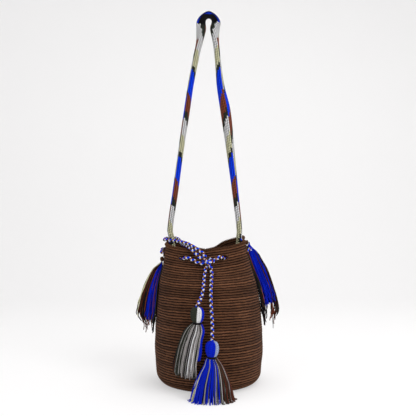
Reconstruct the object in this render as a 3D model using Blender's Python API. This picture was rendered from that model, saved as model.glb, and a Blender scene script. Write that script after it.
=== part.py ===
"""A crocheted drawstring shoulder bag that stands on its base, with its strap held up.

Metres, +Z up. The origin is the centre of the flat base, and -Y is the front.
"""

import math

import bmesh
import bpy
from mathutils import Matrix, Vector

# Bag body: its outline from the base up, with half widths along X and half depths along Y
BASE_RADIUS = 0.092
CORNER_HEIGHT = 0.026
BELLY_RADIUS = 0.119
BELLY_SWELL = 0.004
CORNER_WIDTH = BELLY_RADIUS - BELLY_SWELL - BASE_RADIUS
BELLY_HEIGHT = 0.085
SHOULDER_WIDTH = 0.1105
SHOULDER_DEPTH = 0.1045
SHOULDER_HEIGHT = 0.205
NECK_WIDTH = 0.1015
NECK_DEPTH = 0.084
NECK_HEIGHT = 0.245
MOUTH_WIDTH = 0.091
MOUTH_DEPTH = 0.062
RIM_HEIGHT = 0.300
WALL = 0.004
ROW_PITCH = 0.0054
ROW_DEPTH = 0.0014
BODY_SIDES = 28

# Mouth: drawn in below this height, and leaning to the left
CINCH_START = 0.17
MOUTH_LEAN = -0.007
GATHER_DEPTH = 0.007
RIM_TILT = 0.03
RIM_OFFSETS = (
    (0, -0.014),
    (30, -0.009),
    (60, 0.0),
    (90, 0.005),
    (120, 0.012),
    (150, 0.002),
    (165, -0.011),
    (180, -0.016),
)

# Eyelets: their angles round the mouth, how far they lie below the rim, and their half sizes
EYELET_ANGLES = (23, 70, 110, 151, -151, -110, -72, -29)
EYELET_BELOW_RIM = 0.019
EYELET_HALF_LENGTH = 0.0075
EYELET_CLEARANCE = 0.0005
EYELET_SIDES = 10

# Drawstring
CORD_RADIUS = 0.004
CORD_STANDOFF = 0.003
GAP = 0.0003

CORD_STEP = 0.015

# Knot of the drawstring
KNOT_RADIUS = 0.0092
KNOT_TURN_HEIGHT = 0.0105
KNOT_TILTS = (35, -40)
KNOT_INNER_SHARE = 0.93
KNOT_BELOW_RIM = 0.028
KNOT_ANGLE = 3.4

# Strap
STRAP_WIDTH = 0.036
STRAP_THICKNESS = 0.003
STRAP_FOOT_BELOW_RIM = 0.012
STRAP_FOLD = 0.005
STRAP_SEGMENTS = 6
STRAP_LONG_SPAN = 0.05
STRAP_CENTRED_FOLD = 2.5

# Tassels
HEAD_RADIUS = 0.0135
HEAD_HEIGHT = 0.029
NECK_SHARE = 0.62
TIE_RADIUS = 0.0017
TIE_SIDES = 12
TIE_POINTS = 5
SECTOR_START = -36
SECTOR_POINTS = 5
SKIRT_FLUTE = 0.09
LEFT_TASSEL = Vector((-0.0227, 0.0, 0.1775))
RIGHT_TASSEL = Vector((0.0063, 0.0, 0.1115))
FLOOR_GAP = 0.0006

# Side fringes
FRINGE_KNOT_RADIUS = 0.0048
LOCK_OFFSET = 0.66
LOCK_RADIUS = 0.315
LOCK_SIDES = 6
FRINGE_DEPTH = 1.15
LEFT_KNOT_BELOW_RIM = 0.034
RIGHT_KNOT_BELOW_RIM = -0.002

# A tassel's head: how far down it, and its radius as a share of the head's
HEAD_PROFILE = (
    (0.0, 0.45),
    (0.1, 0.78),
    (0.28, 0.96),
    (0.5, 1.0),
    (0.75, 0.94),
    (1.0, NECK_SHARE),
)
# Level sections of the skirts: place across, height, half width and half depth
LEFT_SKIRT = (
    (-0.0262, 0.1400, 0.0165, 0.0120),
    (-0.0290, 0.1310, 0.0220, 0.0135),
    (-0.0345, 0.1140, 0.0240, 0.0145),
    (-0.0390, 0.0930, 0.0265, 0.0150),
    (-0.0430, 0.0700, 0.0270, 0.0150),
    (-0.0470, 0.0500, 0.0250, 0.0145),
    (-0.0485, 0.0400, 0.0215, 0.0130),
)
RIGHT_SKIRT = (
    (0.0068, 0.0760, 0.0140, 0.0120),
    (0.0090, 0.0660, 0.0200, 0.0140),
    (0.0088, 0.0500, 0.0290, 0.0165),
    (0.0078, 0.0300, 0.0370, 0.0200),
    (0.0070, 0.0120, 0.0415, 0.0250),
    (0.0070, FLOOR_GAP, 0.0440, 0.0290),
)
# Level sections of the side fringes: distance below the rim's height, distance from the bag's
# middle, half width
LEFT_FRINGE = (
    (0.0379, 0.1038, 0.0048),
    (0.0530, 0.1150, 0.0070),
    (0.0800, 0.1260, 0.0110),
    (0.1060, 0.1325, 0.0160),
    (0.1320, 0.1365, 0.0190),
    (0.1550, 0.1375, 0.0185),
    (0.1750, 0.1360, 0.0120),
)
RIGHT_FRINGE = (
    (-0.0020, 0.0925, 0.0048),
    (0.0070, 0.0985, 0.0054),
    (0.0300, 0.1060, 0.0085),
    (0.0530, 0.1135, 0.0135),
    (0.1050, 0.1300, 0.0170),
    (0.1450, 0.1345, 0.0170),
    (0.1690, 0.1345, 0.0105),
)

# Routes chosen by hand. The loop's points are an angle round the mouth in degrees, a distance
# below the rim and a height off the wall's outer face, negative inside.
LOOP_OUT = CORD_RADIUS + CORD_STANDOFF
LOOP_IN = -(WALL + CORD_RADIUS + CORD_STANDOFF)
LOOP_START = ((0.0088, -0.0737, 0.2650),)
LOOP_END = ((-0.0330, -0.0705, 0.2680), (-0.0220, -0.0735, 0.2625), (-0.0100, -0.0743, 0.2604))
BIGHT_ROUTE = (
    (-0.0060, -0.0750, 0.2741),
    (-0.0130, -0.0740, 0.2825),
    (-0.0250, -0.0690, 0.2915),
    (-0.0375, -0.0610, 0.2985),
    (-0.0500, -0.0510, 0.3030),
    (-0.0620, -0.0395, 0.3050),
    (-0.0740, -0.0285, 0.3070),
    (-0.0860, -0.0220, 0.3080),
    (-0.0952, -0.0135, 0.3090),
    (-0.0972, 0.0000, 0.3095),
    (-0.0952, 0.0135, 0.3115),
    (-0.0855, 0.0225, 0.3130),
    (-0.0720, 0.0195, 0.3120),
    (-0.0640, 0.0050, 0.3070),
    (-0.0595, -0.0140, 0.3015),
    (-0.0535, -0.0350, 0.2975),
    (-0.0450, -0.0515, 0.2960),
    (-0.0345, -0.0650, 0.2890),
    (-0.0245, -0.0715, 0.2790),
    (-0.0114, -0.0758, 0.2684),
)
END_LEFT_ROUTE = (
    (-0.0056, -0.0755, 0.2550),
    (-0.0080, -0.0810, 0.2430),
    (-0.0097, -0.0898, 0.2300),
    (-0.0112, -0.1030, 0.2130),
    (-0.0145, -0.1120, 0.1975),
    (-0.0195, -0.1225, 0.1880),
    (-0.0227, -0.1283, 0.1815),
    (-0.0227, -0.1283, 0.1778),
)
END_RIGHT_ROUTE = (
    (0.0036, -0.0755, 0.2550),
    (0.0060, -0.0816, 0.2415),
    (0.0052, -0.0916, 0.2280),
    (0.0042, -0.1040, 0.2110),
    (0.0040, -0.1125, 0.1950),
    (0.0046, -0.1203, 0.1790),
    (0.0058, -0.1255, 0.1600),
    (0.0068, -0.1290, 0.1400),
    (0.0064, -0.1326, 0.1200),
    (0.0063, -0.1326, 0.1118),
)
# Strap, from its left foot over the top to its right foot: place across, height, how far it is
# folded lengthwise in radians, and its turn about its own length in degrees
STRAP_ROUTE = (
    (-0.0855, 0.330, 2.7, -105),
    (-0.0730, 0.418, 3.5, -90),
    (-0.0610, 0.506, 3.6, -90),
    (-0.0480, 0.594, 3.4, -90),
    (-0.0395, 0.650, 3.2, -85),
    (-0.0300, 0.705, 2.8, -75),
    (-0.0225, 0.745, 2.0, -50),
    (-0.0155, 0.775, 1.2, -25),
    (-0.0080, 0.7935, 0.6, -5),
    (0.0000, 0.8000, 0.5, 0),
    (0.0080, 0.7930, 0.6, -5),
    (0.0150, 0.775, 1.2, -25),
    (0.0200, 0.745, 1.9, -50),
    (0.0230, 0.705, 2.4, -75),
    (0.0270, 0.650, 2.6, -85),
    (0.0370, 0.594, 2.5, -90),
    (0.0480, 0.506, 2.9, -90),
    (0.0580, 0.418, 3.3, -90),
    (0.0675, 0.330, 2.7, -105),
)


def material(name, colour, roughness=0.9):
    """A yarn finish."""
    made = bpy.data.materials.new(name)
    made.use_nodes = True
    shader = made.node_tree.nodes["Principled BSDF"]
    shader.inputs["Base Color"].default_value = (*colour, 1)
    shader.inputs["Roughness"].default_value = roughness
    shader.inputs["Metallic"].default_value = 0.0
    return made


def hermite(knots, values, at):
    """Reads a smooth curve through values, given at rising knots."""
    last = len(knots) - 1
    at = min(max(at, knots[0]), knots[-1])
    i = max(k for k in range(last) if knots[k] <= at or k == 0)

    def slope(k):
        before, after = max(k - 1, 0), min(k + 1, last)
        return (values[after] - values[before]) / (knots[after] - knots[before])

    span = knots[i + 1] - knots[i]
    t = (at - knots[i]) / span
    start = (2 * t**3 - 3 * t**2 + 1) * values[i] + (t**3 - 2 * t**2 + t) * span * slope(i)
    return start + (3 * t**2 - 2 * t**3) * values[i + 1] + (t**3 - t**2) * span * slope(i + 1)


def eased(low, high, at):
    """From 0 at low to 1 at high, smoothly."""
    t = min(max((at - low) / (high - low), 0.0), 1.0)
    return t * t * (3 - 2 * t)


def outline():
    """The bag's outline: (distance along it, half width, half depth, height) at small steps."""
    corner = []
    for k in range(13):
        turn = math.pi / 2 * k / 12
        reach = BASE_RADIUS + CORNER_WIDTH * math.sin(turn)
        corner.append((reach, reach, CORNER_HEIGHT * (1 - math.cos(turn))))
    upper = (
        corner[-1],
        (BELLY_RADIUS, BELLY_RADIUS, BELLY_HEIGHT),
        (SHOULDER_WIDTH, SHOULDER_DEPTH, SHOULDER_HEIGHT),
        (NECK_WIDTH, NECK_DEPTH, NECK_HEIGHT),
        (MOUTH_WIDTH, MOUTH_DEPTH, RIM_HEIGHT),
    )
    heights = [p[2] for p in upper]
    points = list(corner)
    steps = 80
    for k in range(1, steps + 1):
        z = heights[0] + (heights[-1] - heights[0]) * k / steps
        width = hermite(heights, [p[0] for p in upper], z)
        depth = hermite(heights, [p[1] for p in upper], z)
        points.append((width, depth, z))
    along = [0.0]
    for a, b in zip(points, points[1:]):
        along.append(along[-1] + math.hypot(b[0] - a[0], b[2] - a[2]))
    return [(s, *p) for s, p in zip(along, points)]


OUTLINE = outline()
OUTLINE_LENGTH = OUTLINE[-1][0]
# Heights of the plain inside's rings, from the mouth down
INSIDE_HEIGHTS = (
    RIM_HEIGHT,
    NECK_HEIGHT,
    (NECK_HEIGHT + SHOULDER_HEIGHT) / 2,
    SHOULDER_HEIGHT,
    BELLY_HEIGHT,
    CORNER_HEIGHT,
)


def outline_at(s):
    """Half width, half depth and height at a distance along the outline."""
    s = min(max(s, 0.0), OUTLINE_LENGTH)
    i = max(k for k in range(len(OUTLINE) - 1) if OUTLINE[k][0] <= s)
    a, b = OUTLINE[i], OUTLINE[i + 1]
    t = (s - a[0]) / (b[0] - a[0])
    return [a[k] + (b[k] - a[k]) * t for k in (1, 2, 3)]


def rim_offset(angle):
    """How far the rim rises or dips at an angle round the mouth, in degrees."""
    turned = abs((angle + 180) % 360 - 180)
    return hermite([p[0] for p in RIM_OFFSETS], [p[1] for p in RIM_OFFSETS], turned)


def bag_point(angle, s, inset=0.0):
    """A point of the bag's wall: angle round it in degrees, distance along the outline, depth in."""
    width, depth, z = outline_at(s)
    below, above = outline_at(s - 0.001), outline_at(s + 0.001)
    tangent = Vector((above[0] - below[0], above[2] - below[2])).normalized()
    out, down = tangent.y, tangent.x
    share = eased(CINCH_START, RIM_HEIGHT, z)
    turn = math.radians(angle)
    phase = turn - math.radians(7.7) * math.sin(2 * turn)
    gather = -GATHER_DEPTH * share * math.cos(4 * phase)
    x = (width + gather - inset * out) * math.sin(turn) + MOUTH_LEAN * share
    y = -(depth + gather - inset * out) * math.cos(turn)
    z = z + inset * down + share * (rim_offset(angle) + RIM_TILT * x)
    return Vector((x, y, z))


def wall_frame(angle, s):
    """The wall's outer face at a point: the point, out of the wall, along the row, up the wall."""
    here = bag_point(angle, s)
    along = (bag_point(angle + 1, s) - bag_point(angle - 1, s)).normalized()
    up = (bag_point(angle, min(s + 0.002, OUTLINE_LENGTH)) - bag_point(angle, s - 0.002)).normalized()
    out = along.cross(up).normalized()
    return here, out, along, out.cross(along)


def off_wall(angle, below_rim, height):
    """A point at a height off the wall's outer face."""
    here, out, _, _ = wall_frame(angle, OUTLINE_LENGTH - below_rim)
    return here + out * height


def side_distance(height, angle):
    """The distance along the outline at which the wall has that height at that angle."""
    low, high = 0.0, OUTLINE_LENGTH
    for _ in range(40):
        middle = (low + high) / 2
        if bag_point(angle, middle).z < height:
            low = middle
        else:
            high = middle
    return low


def add_object(name, data, finish):
    """A named object with its own finish, shaded smooth but for its sharp edges."""
    made = bpy.data.objects.new(name, data)
    bpy.context.scene.collection.objects.link(made)
    data.materials.append(finish)
    if made.type == "MESH":
        data.shade_smooth()
        data.set_sharp_from_angle(angle=math.radians(50))
    return made


def add_guide(name, data):
    """An object that only cuts or joins another."""
    guide = bpy.data.objects.new(name, data)
    bpy.context.scene.collection.objects.link(guide)
    guide.hide_render = True
    guide.display_type = "WIRE"
    return guide


def loft(name, rings, finish, wedge=False):
    """One closed solid through rings of equally many points, filled at both ends.

    A wedge starts at its inner edge, and its two flat sides are split alike, so that a
    neighbour's side lies parallel to them.
    """
    bm = bmesh.new()
    rows = [[bm.verts.new(p) for p in ring] for ring in rings]
    count = len(rows[0])
    for low, high in zip(rows, rows[1:]):
        for i in range(count):
            j = (i + 1) % count
            if wedge and i in (0, count - 1):
                inner, outer = (i, j) if i == 0 else (j, i)
                bm.faces.new((low[inner], low[outer], high[outer]))
                bm.faces.new((low[inner], high[outer], high[inner]))
            else:
                bm.faces.new((low[i], low[j], high[j], high[i]))
    bm.faces.new(list(reversed(rows[0])))
    bm.faces.new(rows[-1])
    bmesh.ops.recalc_face_normals(bm, faces=bm.faces[:])
    made = bpy.data.meshes.new(name)
    bm.to_mesh(made)
    bm.free()
    return add_object(name, made, finish)


def smooth_route(route):
    """Points about a step apart of one smooth curve through the route's own."""
    own = [Vector(p) for p in route]
    knots = [0.0]
    for a, b in zip(own, own[1:]):
        knots.append(knots[-1] + (b - a).length)
    points = []
    for low, high in zip(knots, knots[1:]):
        steps = max(1, round((high - low) / CORD_STEP))
        for k in range(steps):
            at = low + (high - low) * k / steps
            points.append(Vector([hermite(knots, [p[axis] for p in own], at) for axis in range(3)]))
    return points + own[-1:]


def cord(name, points, finish):
    """A round cord along its points, with filled ends."""
    curve = bpy.data.curves.new(name, "CURVE")
    curve.dimensions = "3D"
    curve.bevel_depth = CORD_RADIUS
    curve.bevel_resolution = 2
    curve.use_fill_caps = True
    spline = curve.splines.new("POLY")
    spline.points.add(len(points) - 1)
    for target, p in zip(spline.points, points):
        target.co = (*p, 1)
    return add_object(name, curve, finish)


def eyelet_cutter():
    """A guide that cuts the eight oval eyelets through the wall."""
    bm = bmesh.new()
    half_height = (CORD_RADIUS + EYELET_CLEARANCE) / math.cos(math.pi / EYELET_SIDES)
    for angle in EYELET_ANGLES:
        here, out, along, up = wall_frame(angle, OUTLINE_LENGTH - EYELET_BELOW_RIM)
        centre = here - out * WALL / 2
        rows = []
        for reach in (-WALL * 1.6, WALL * 1.6):
            ring = []
            for k in range(EYELET_SIDES):
                turn = 2 * math.pi * (k + 0.5) / EYELET_SIDES
                wide = EYELET_HALF_LENGTH * math.cos(turn)
                tall = half_height * math.sin(turn)
                ring.append(bm.verts.new(centre + out * reach + along * wide + up * tall))
            rows.append(ring)
        for k in range(EYELET_SIDES):
            j = (k + 1) % EYELET_SIDES
            bm.faces.new((rows[0][k], rows[0][j], rows[1][j], rows[1][k]))
        bm.faces.new(list(reversed(rows[0])))
        bm.faces.new(rows[1])
    bmesh.ops.recalc_face_normals(bm, faces=bm.faces[:])
    made = bpy.data.meshes.new("eyelet_cutter")
    bm.to_mesh(made)
    bm.free()
    return add_guide("eyelet_cutter", made)


def build_body():
    """The crocheted bucket: ridged rows outside, a plain inside, and oval eyelets."""
    angles = [360 * k / BODY_SIDES for k in range(BODY_SIDES)]
    rows = round(OUTLINE_LENGTH / ROW_PITCH)
    rings = []
    for k in range(2 * rows + 1):
        s = OUTLINE_LENGTH * k / (2 * rows)
        rings.append([bag_point(a, s, ROW_DEPTH if k % 2 else 0.0) for a in angles])
    lip = []
    for outer, inner in zip(rings[-1], [bag_point(a, OUTLINE_LENGTH, WALL) for a in angles]):
        lip.append((outer + inner) / 2 + Vector((0, 0, WALL / 3)))
    rings.append(lip)
    inside = [next(p[0] for p in OUTLINE if p[3] >= height) for height in INSIDE_HEIGHTS]
    for s in inside + [0.6 * BASE_RADIUS / BODY_SIDES]:
        rings.append([bag_point(a, s, WALL) for a in angles])
    body = loft("bag_body", rings, material("brown_crochet", (0.045, 0.019, 0.010), 0.95))
    cut = body.modifiers.new("eyelets", "BOOLEAN")
    cut.operation = "DIFFERENCE"
    cut.solver = "EXACT"
    cut.object = eyelet_cutter()
    return body


def strap_section(fold):
    """The strap's section: points across its width, out and in, folded about its middle."""
    steps = 24
    half = STRAP_WIDTH / 2
    line = [(0.0, 0.0)]
    for k in range(steps):
        w = half * (k + 0.5) / steps
        turned = fold / 2 * (1 - math.exp(-w / STRAP_FOLD)) / (1 - math.exp(-half / STRAP_FOLD))
        step = half / steps
        line.append((line[-1][0] + math.cos(turned) * step, line[-1][1] + math.sin(turned) * step))
    picked = [line[round(steps * k * 2 / STRAP_SEGMENTS)] for k in range(STRAP_SEGMENTS // 2 + 1)]
    across = [(-x, y) for x, y in reversed(picked[1:])] + picked
    deep = max(y for _, y in across) / 2 * min(1.0, fold / STRAP_CENTRED_FOLD) ** 2
    outer, inner = [], []
    for i, (x, y) in enumerate(across):
        a, b = across[max(i - 1, 0)], across[min(i + 1, len(across) - 1)]
        length = math.hypot(b[0] - a[0], b[1] - a[1])
        nx, ny = (b[1] - a[1]) / length, -(b[0] - a[0]) / length
        outer.append((x + nx * STRAP_THICKNESS / 2, y - deep + ny * STRAP_THICKNESS / 2))
        inner.append((x - nx * STRAP_THICKNESS / 2, y - deep - ny * STRAP_THICKNESS / 2))
    return outer + inner[::-1]


def strap_foot(side):
    """One foot's stations, flat inside the rim, from its end upwards: place, fold and turn."""
    s = OUTLINE_LENGTH - STRAP_FOOT_BELOW_RIM
    sunk = WALL + GAP + STRAP_THICKNESS / 2
    low, high = bag_point(90 * side, s, sunk), bag_point(90 * side, OUTLINE_LENGTH, sunk)
    return [
        (low, 0.05, -180),
        ((low + high) / 2, 0.2, -180),
        (high, 0.5, -175),
        (high + (high - low) * 0.7, 1.8, -150),
    ]


def build_strap():
    """The woven band, from foot to foot, folded lengthwise on its legs and flat over the top."""
    left, right = strap_foot(-1), strap_foot(1)
    stations = list(left)
    stations += [(Vector((x, 0.0, z)), fold, turn) for x, z, fold, turn in STRAP_ROUTE]
    stations += reversed(right)
    knots = [0.0]
    for a, b in zip(stations, stations[1:]):
        knots.append(knots[-1] + (b[0] - a[0]).length)
    reads = []
    for i in range(len(stations) - 1):
        steps = 2 if knots[i + 1] - knots[i] < STRAP_LONG_SPAN else 1
        for k in range(steps):
            reads.append(knots[i] + (knots[i + 1] - knots[i]) * k / steps)
    reads.append(knots[-1])

    def read(at):
        place = Vector([hermite(knots, [s[0][k] for s in stations], at) for k in range(3)])
        fold = hermite(knots, [s[1] for s in stations], at)
        return place, max(fold, 0.02), hermite(knots, [s[2] for s in stations], at)

    rings = []
    for at in reads:
        place, fold, turn = read(at)
        ahead = (read(min(at + 0.004, knots[-1]))[0] - read(max(at - 0.004, 0.0))[0]).normalized()
        across = Vector((0, 1, 0))
        face = ahead.cross(across).normalized()
        c, s = math.cos(math.radians(turn)), math.sin(math.radians(turn))
        wide = across * c + face * s
        deep = face * c - across * s
        rings.append([place + wide * x + deep * y for x, y in strap_section(fold)])
    return loft("strap", rings, material("woven_strap", (0.12, 0.13, 0.22), 0.85))


def loop_route():
    """The drawstring from the knot through the eight eyelets and back to the knot."""
    turns = sorted(a % 360 for a in EYELET_ANGLES)
    below = EYELET_BELOW_RIM
    points = [Vector(p) for p in LOOP_START]
    outside = True
    for i, turn in enumerate(turns):
        speed = (off_wall(turn + 1, below, 0) - off_wall(turn - 1, below, 0)).length / 2
        step = EYELET_HALF_LENGTH / speed
        first, last = (LOOP_OUT, LOOP_IN) if outside else (LOOP_IN, LOOP_OUT)
        points.append(off_wall(turn - step, below, first))
        points.append(off_wall(turn, below, -WALL / 2))
        points.append(off_wall(turn + step, below, last))
        outside = not outside
        if i + 1 < len(turns):
            gap = turns[i + 1] - turn
            shares = (0.5,) if gap * speed < 0.06 else (0.35, 0.65)
            for share in shares:
                points.append(off_wall(turn + gap * share, below, last))
    return points + [Vector(p) for p in LOOP_END]


def knot_centre():
    """The knot's place, its back just off the wall."""
    return off_wall(KNOT_ANGLE, KNOT_BELOW_RIM, KNOT_RADIUS + GAP)


def turned_solid(name, place, spin, profile, sides):
    """A mesh turned about its own axis through (radius, height) pairs, spun and placed."""
    bm = bmesh.new()
    rows = []
    for radius, height in profile:
        ring = []
        for k in range(sides):
            turn = 2 * math.pi * k / sides
            p = Vector((radius * math.cos(turn), radius * math.sin(turn), height))
            ring.append(bm.verts.new(place + spin @ p))
        rows.append(ring)
    for low, high in zip(rows, rows[1:]):
        for k in range(sides):
            j = (k + 1) % sides
            bm.faces.new((low[k], low[j], high[j], high[k]))
    bm.faces.new(list(reversed(rows[0])))
    bm.faces.new(rows[-1])
    bmesh.ops.recalc_face_normals(bm, faces=bm.faces[:])
    made = bpy.data.meshes.new(name)
    bm.to_mesh(made)
    bm.free()
    return made


def build_knot(finish):
    """The knot: two turns of the cord, crossed and drawn tight."""
    half = KNOT_TURN_HEIGHT / 2
    profile = ((0.5, -half), (0.88, -0.7 * half), (1.0, 0.0), (0.88, 0.7 * half), (0.5, half))
    turns = []
    for tilt, radius in zip(KNOT_TILTS, (KNOT_RADIUS, KNOT_RADIUS * KNOT_INNER_SHARE)):
        spin = Matrix.Rotation(math.radians(tilt), 3, "Y")
        spin @= Matrix.Rotation(math.radians(tilt / 3), 3, "X")
        sized = [(radius * share, height) for share, height in profile]
        turns.append(turned_solid("knot_turn", knot_centre(), spin, sized, 12))
    first, second = turns
    knot = add_object("drawstring_knot", first, finish)
    join = knot.modifiers.new("second_turn", "BOOLEAN")
    join.operation = "UNION"
    join.solver = "EXACT"
    join.object = add_guide("knot_second_turn", second)
    return knot


def build_drawstring(finish):
    """The braided cord: its loop through the eyelets, the bight, the knot and the two free ends."""
    cord("drawstring_loop", loop_route(), finish)
    cord("drawstring_bight", smooth_route(BIGHT_ROUTE), finish)
    cord("drawstring_end_left", smooth_route(END_LEFT_ROUTE), finish)
    cord("drawstring_end_right", smooth_route(END_RIGHT_ROUTE), finish)
    build_knot(finish)


def wall_radius(z):
    """How far the widest ridge at or above a height below the belly is from the bag's axis."""
    if z <= BELLY_HEIGHT:
        return BELLY_RADIUS
    return outline_at(side_distance(z, 90))[0]


def hung_station(x, z, wide, deep):
    """A level section of a bundle that hangs against the wall: its centre, across it, out of it."""
    reach = wall_radius(z) + GAP + deep
    turn = math.asin(x / reach)
    out = Vector((math.sin(turn), -math.cos(turn), 0))
    return out * reach + Vector((0, 0, z)), Vector((-out.y, out.x, 0)), out, wide, deep


def sector_ring(station, start, end, flute):
    """One colour's share of a level section, set half a gap in from its neighbours."""
    centre, across, out, wide, deep = station
    corners = [Vector((0, 0))]
    for k in range(SECTOR_POINTS):
        turn = math.radians(start + (end - start) * k / (SECTOR_POINTS - 1))
        reach = 1 - (flute if k % 2 else 0)
        corners.append(Vector((wide * reach * math.cos(turn), deep * reach * math.sin(turn))))
    first, last = corners[1].normalized(), corners[-1].normalized()
    inward_first, inward_last = Vector((-first.y, first.x)), Vector((last.y, -last.x))
    middle = (inward_first + inward_last).normalized()
    corners[0] += middle * (GAP * 0.75 / max(middle.dot(inward_first), 0.2))
    corners[1] += inward_first * GAP * 0.75
    corners[-1] += inward_last * GAP * 0.75
    return [centre + across * c.x + out * c.y for c in corners]


def build_tassel(name, top, skirt, colours):
    """A tassel: a round head over a tied neck and a skirt, in sectors by the colour of the yarn."""
    stations = []
    for drop, share in HEAD_PROFILE:
        z = top.z - HEAD_HEIGHT * drop
        seat = hung_station(top.x, top.z - HEAD_HEIGHT / 2, HEAD_RADIUS, HEAD_RADIUS)
        centre = Vector((seat[0].x, seat[0].y, z))
        stations.append((centre, *seat[1:3], HEAD_RADIUS * share, HEAD_RADIUS * share))
    neck_drop = Vector((0, 0, -(TIE_RADIUS + 2 * GAP)))
    above = stations[-1]
    neck = (above[0] + neck_drop, *above[1:])
    stations += [neck, (above[0] + 2 * neck_drop, *above[1:])]
    head_count = len(stations)
    stations += [hung_station(*row) for row in skirt]
    step = 360 / len(colours)
    for k, (colour, finish) in enumerate(colours):
        rings = []
        for i, station in enumerate(stations):
            flute = SKIRT_FLUTE if i >= head_count else 0.0
            start = SECTOR_START + step * k
            rings.append(sector_ring(station, start, start + step, flute))
        loft(f"{name}_{colour}", rings, finish, wedge=True)
    build_tie(f"{name}_tie", neck)


def build_tie(name, neck):
    """The binding round a tassel's neck: a closed ring."""
    centre, _, _, radius, _ = neck
    radius += 2 * GAP + TIE_RADIUS
    bm = bmesh.new()
    rows = []
    for i in range(TIE_SIDES):
        turn = 2 * math.pi * i / TIE_SIDES
        out = Vector((math.cos(turn), math.sin(turn), 0))
        ring = []
        for j in range(TIE_POINTS):
            small = 2 * math.pi * j / TIE_POINTS
            rise = Vector((0, 0, TIE_RADIUS * math.sin(small)))
            p = centre + out * (radius + TIE_RADIUS * math.cos(small)) + rise
            ring.append(bm.verts.new(p))
        rows.append(ring)
    for i in range(TIE_SIDES):
        for j in range(TIE_POINTS):
            a, b = (i + 1) % TIE_SIDES, (j + 1) % TIE_POINTS
            bm.faces.new((rows[i][j], rows[a][j], rows[a][b], rows[i][b]))
    bmesh.ops.recalc_face_normals(bm, faces=bm.faces[:])
    made = bpy.data.meshes.new(name)
    bm.to_mesh(made)
    bm.free()
    add_object(name, made, material("dark_binding", (0.012, 0.010, 0.012)))


def build_fringe(name, side, knot_below_rim, stations, colours):
    """The loose yarn ends at one side: a knot on the wall, and locks that hang and spread from it."""
    knot_height = RIM_HEIGHT - knot_below_rim
    place, out, _, _ = wall_frame(90 * side, side_distance(knot_height, 90 * side))
    centre = place + out * (FRINGE_KNOT_RADIUS + GAP)
    profile = []
    for k in range(5):
        turn = math.radians(-70 + 35 * k)
        profile.append((FRINGE_KNOT_RADIUS * math.cos(turn), FRINGE_KNOT_RADIUS * math.sin(turn)))
    knot = turned_solid(f"{name}_knot", centre, Matrix.Identity(3), profile, 8)
    add_object(f"{name}_knot", knot, material("knot_yarn", (0.05, 0.022, 0.012)))
    for k, (colour, finish) in enumerate(colours):
        rings = []
        turn = math.radians(60 * k)
        offset = Vector((0, 0))
        if k < 6:
            offset = Vector((LOCK_OFFSET * math.cos(turn), -LOCK_OFFSET * math.sin(turn)))
        for below_rim, x, half in stations:
            z = RIM_HEIGHT - below_rim
            middle = Vector((side * (x + offset.x * half), offset.y * half * FRINGE_DEPTH, z))
            reach = half * LOCK_RADIUS - GAP / 4
            ring = []
            for j in range(LOCK_SIDES):
                small = 2 * math.pi * j / LOCK_SIDES
                round_it = (reach * math.cos(small), reach * FRINGE_DEPTH * math.sin(small), 0)
                ring.append(middle + Vector(round_it))
            rings.append(ring)
        loft(f"{name}_{colour}", rings, finish)


def main():
    """Builds the bag."""
    for old in list(bpy.data.objects):
        bpy.data.objects.remove(old, do_unlink=True)
    build_body()
    build_strap()
    build_drawstring(material("braid", (0.10, 0.11, 0.22), 0.8))
    blue = material("blue_yarn", (0.0, 0.013, 0.55), 0.8)
    rust = material("rust_yarn", (0.13, 0.035, 0.018), 0.85)
    dark = material("dark_yarn", (0.012, 0.012, 0.016), 0.85)
    olive = material("olive_yarn", (0.035, 0.04, 0.028), 0.85)
    grey = material("grey_yarn", (0.42, 0.42, 0.46), 0.85)
    cream = material("cream_yarn", (0.6, 0.56, 0.45), 0.85)
    left_colours = (
        ("blue", blue),
        ("white", grey),
        ("olive", olive),
        ("rust", rust),
        ("grey", grey),
    )
    right_colours = (
        ("white", grey),
        ("blue", blue),
        ("cream", cream),
        ("back_blue", blue),
        ("rust", rust),
    )
    build_tassel("tassel_left", LEFT_TASSEL, LEFT_SKIRT, left_colours)
    build_tassel("tassel_right", RIGHT_TASSEL, RIGHT_SKIRT, right_colours)
    build_fringe(
        "fringe_left",
        -1,
        LEFT_KNOT_BELOW_RIM,
        LEFT_FRINGE,
        (
            ("cream", cream),
            ("black", dark),
            ("blue", blue),
            ("dark", olive),
            ("back_rust", rust),
            ("back_blue", blue),
            ("rust", rust),
        ),
    )
    build_fringe(
        "fringe_right",
        1,
        RIGHT_KNOT_BELOW_RIM,
        RIGHT_FRINGE,
        (
            ("grey", grey),
            ("rust", rust),
            ("blue", blue),
            ("black", dark),
            ("back_rust", rust),
            ("back_grey", grey),
            ("inner_blue", blue),
        ),
    )


main()
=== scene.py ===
import math

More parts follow.
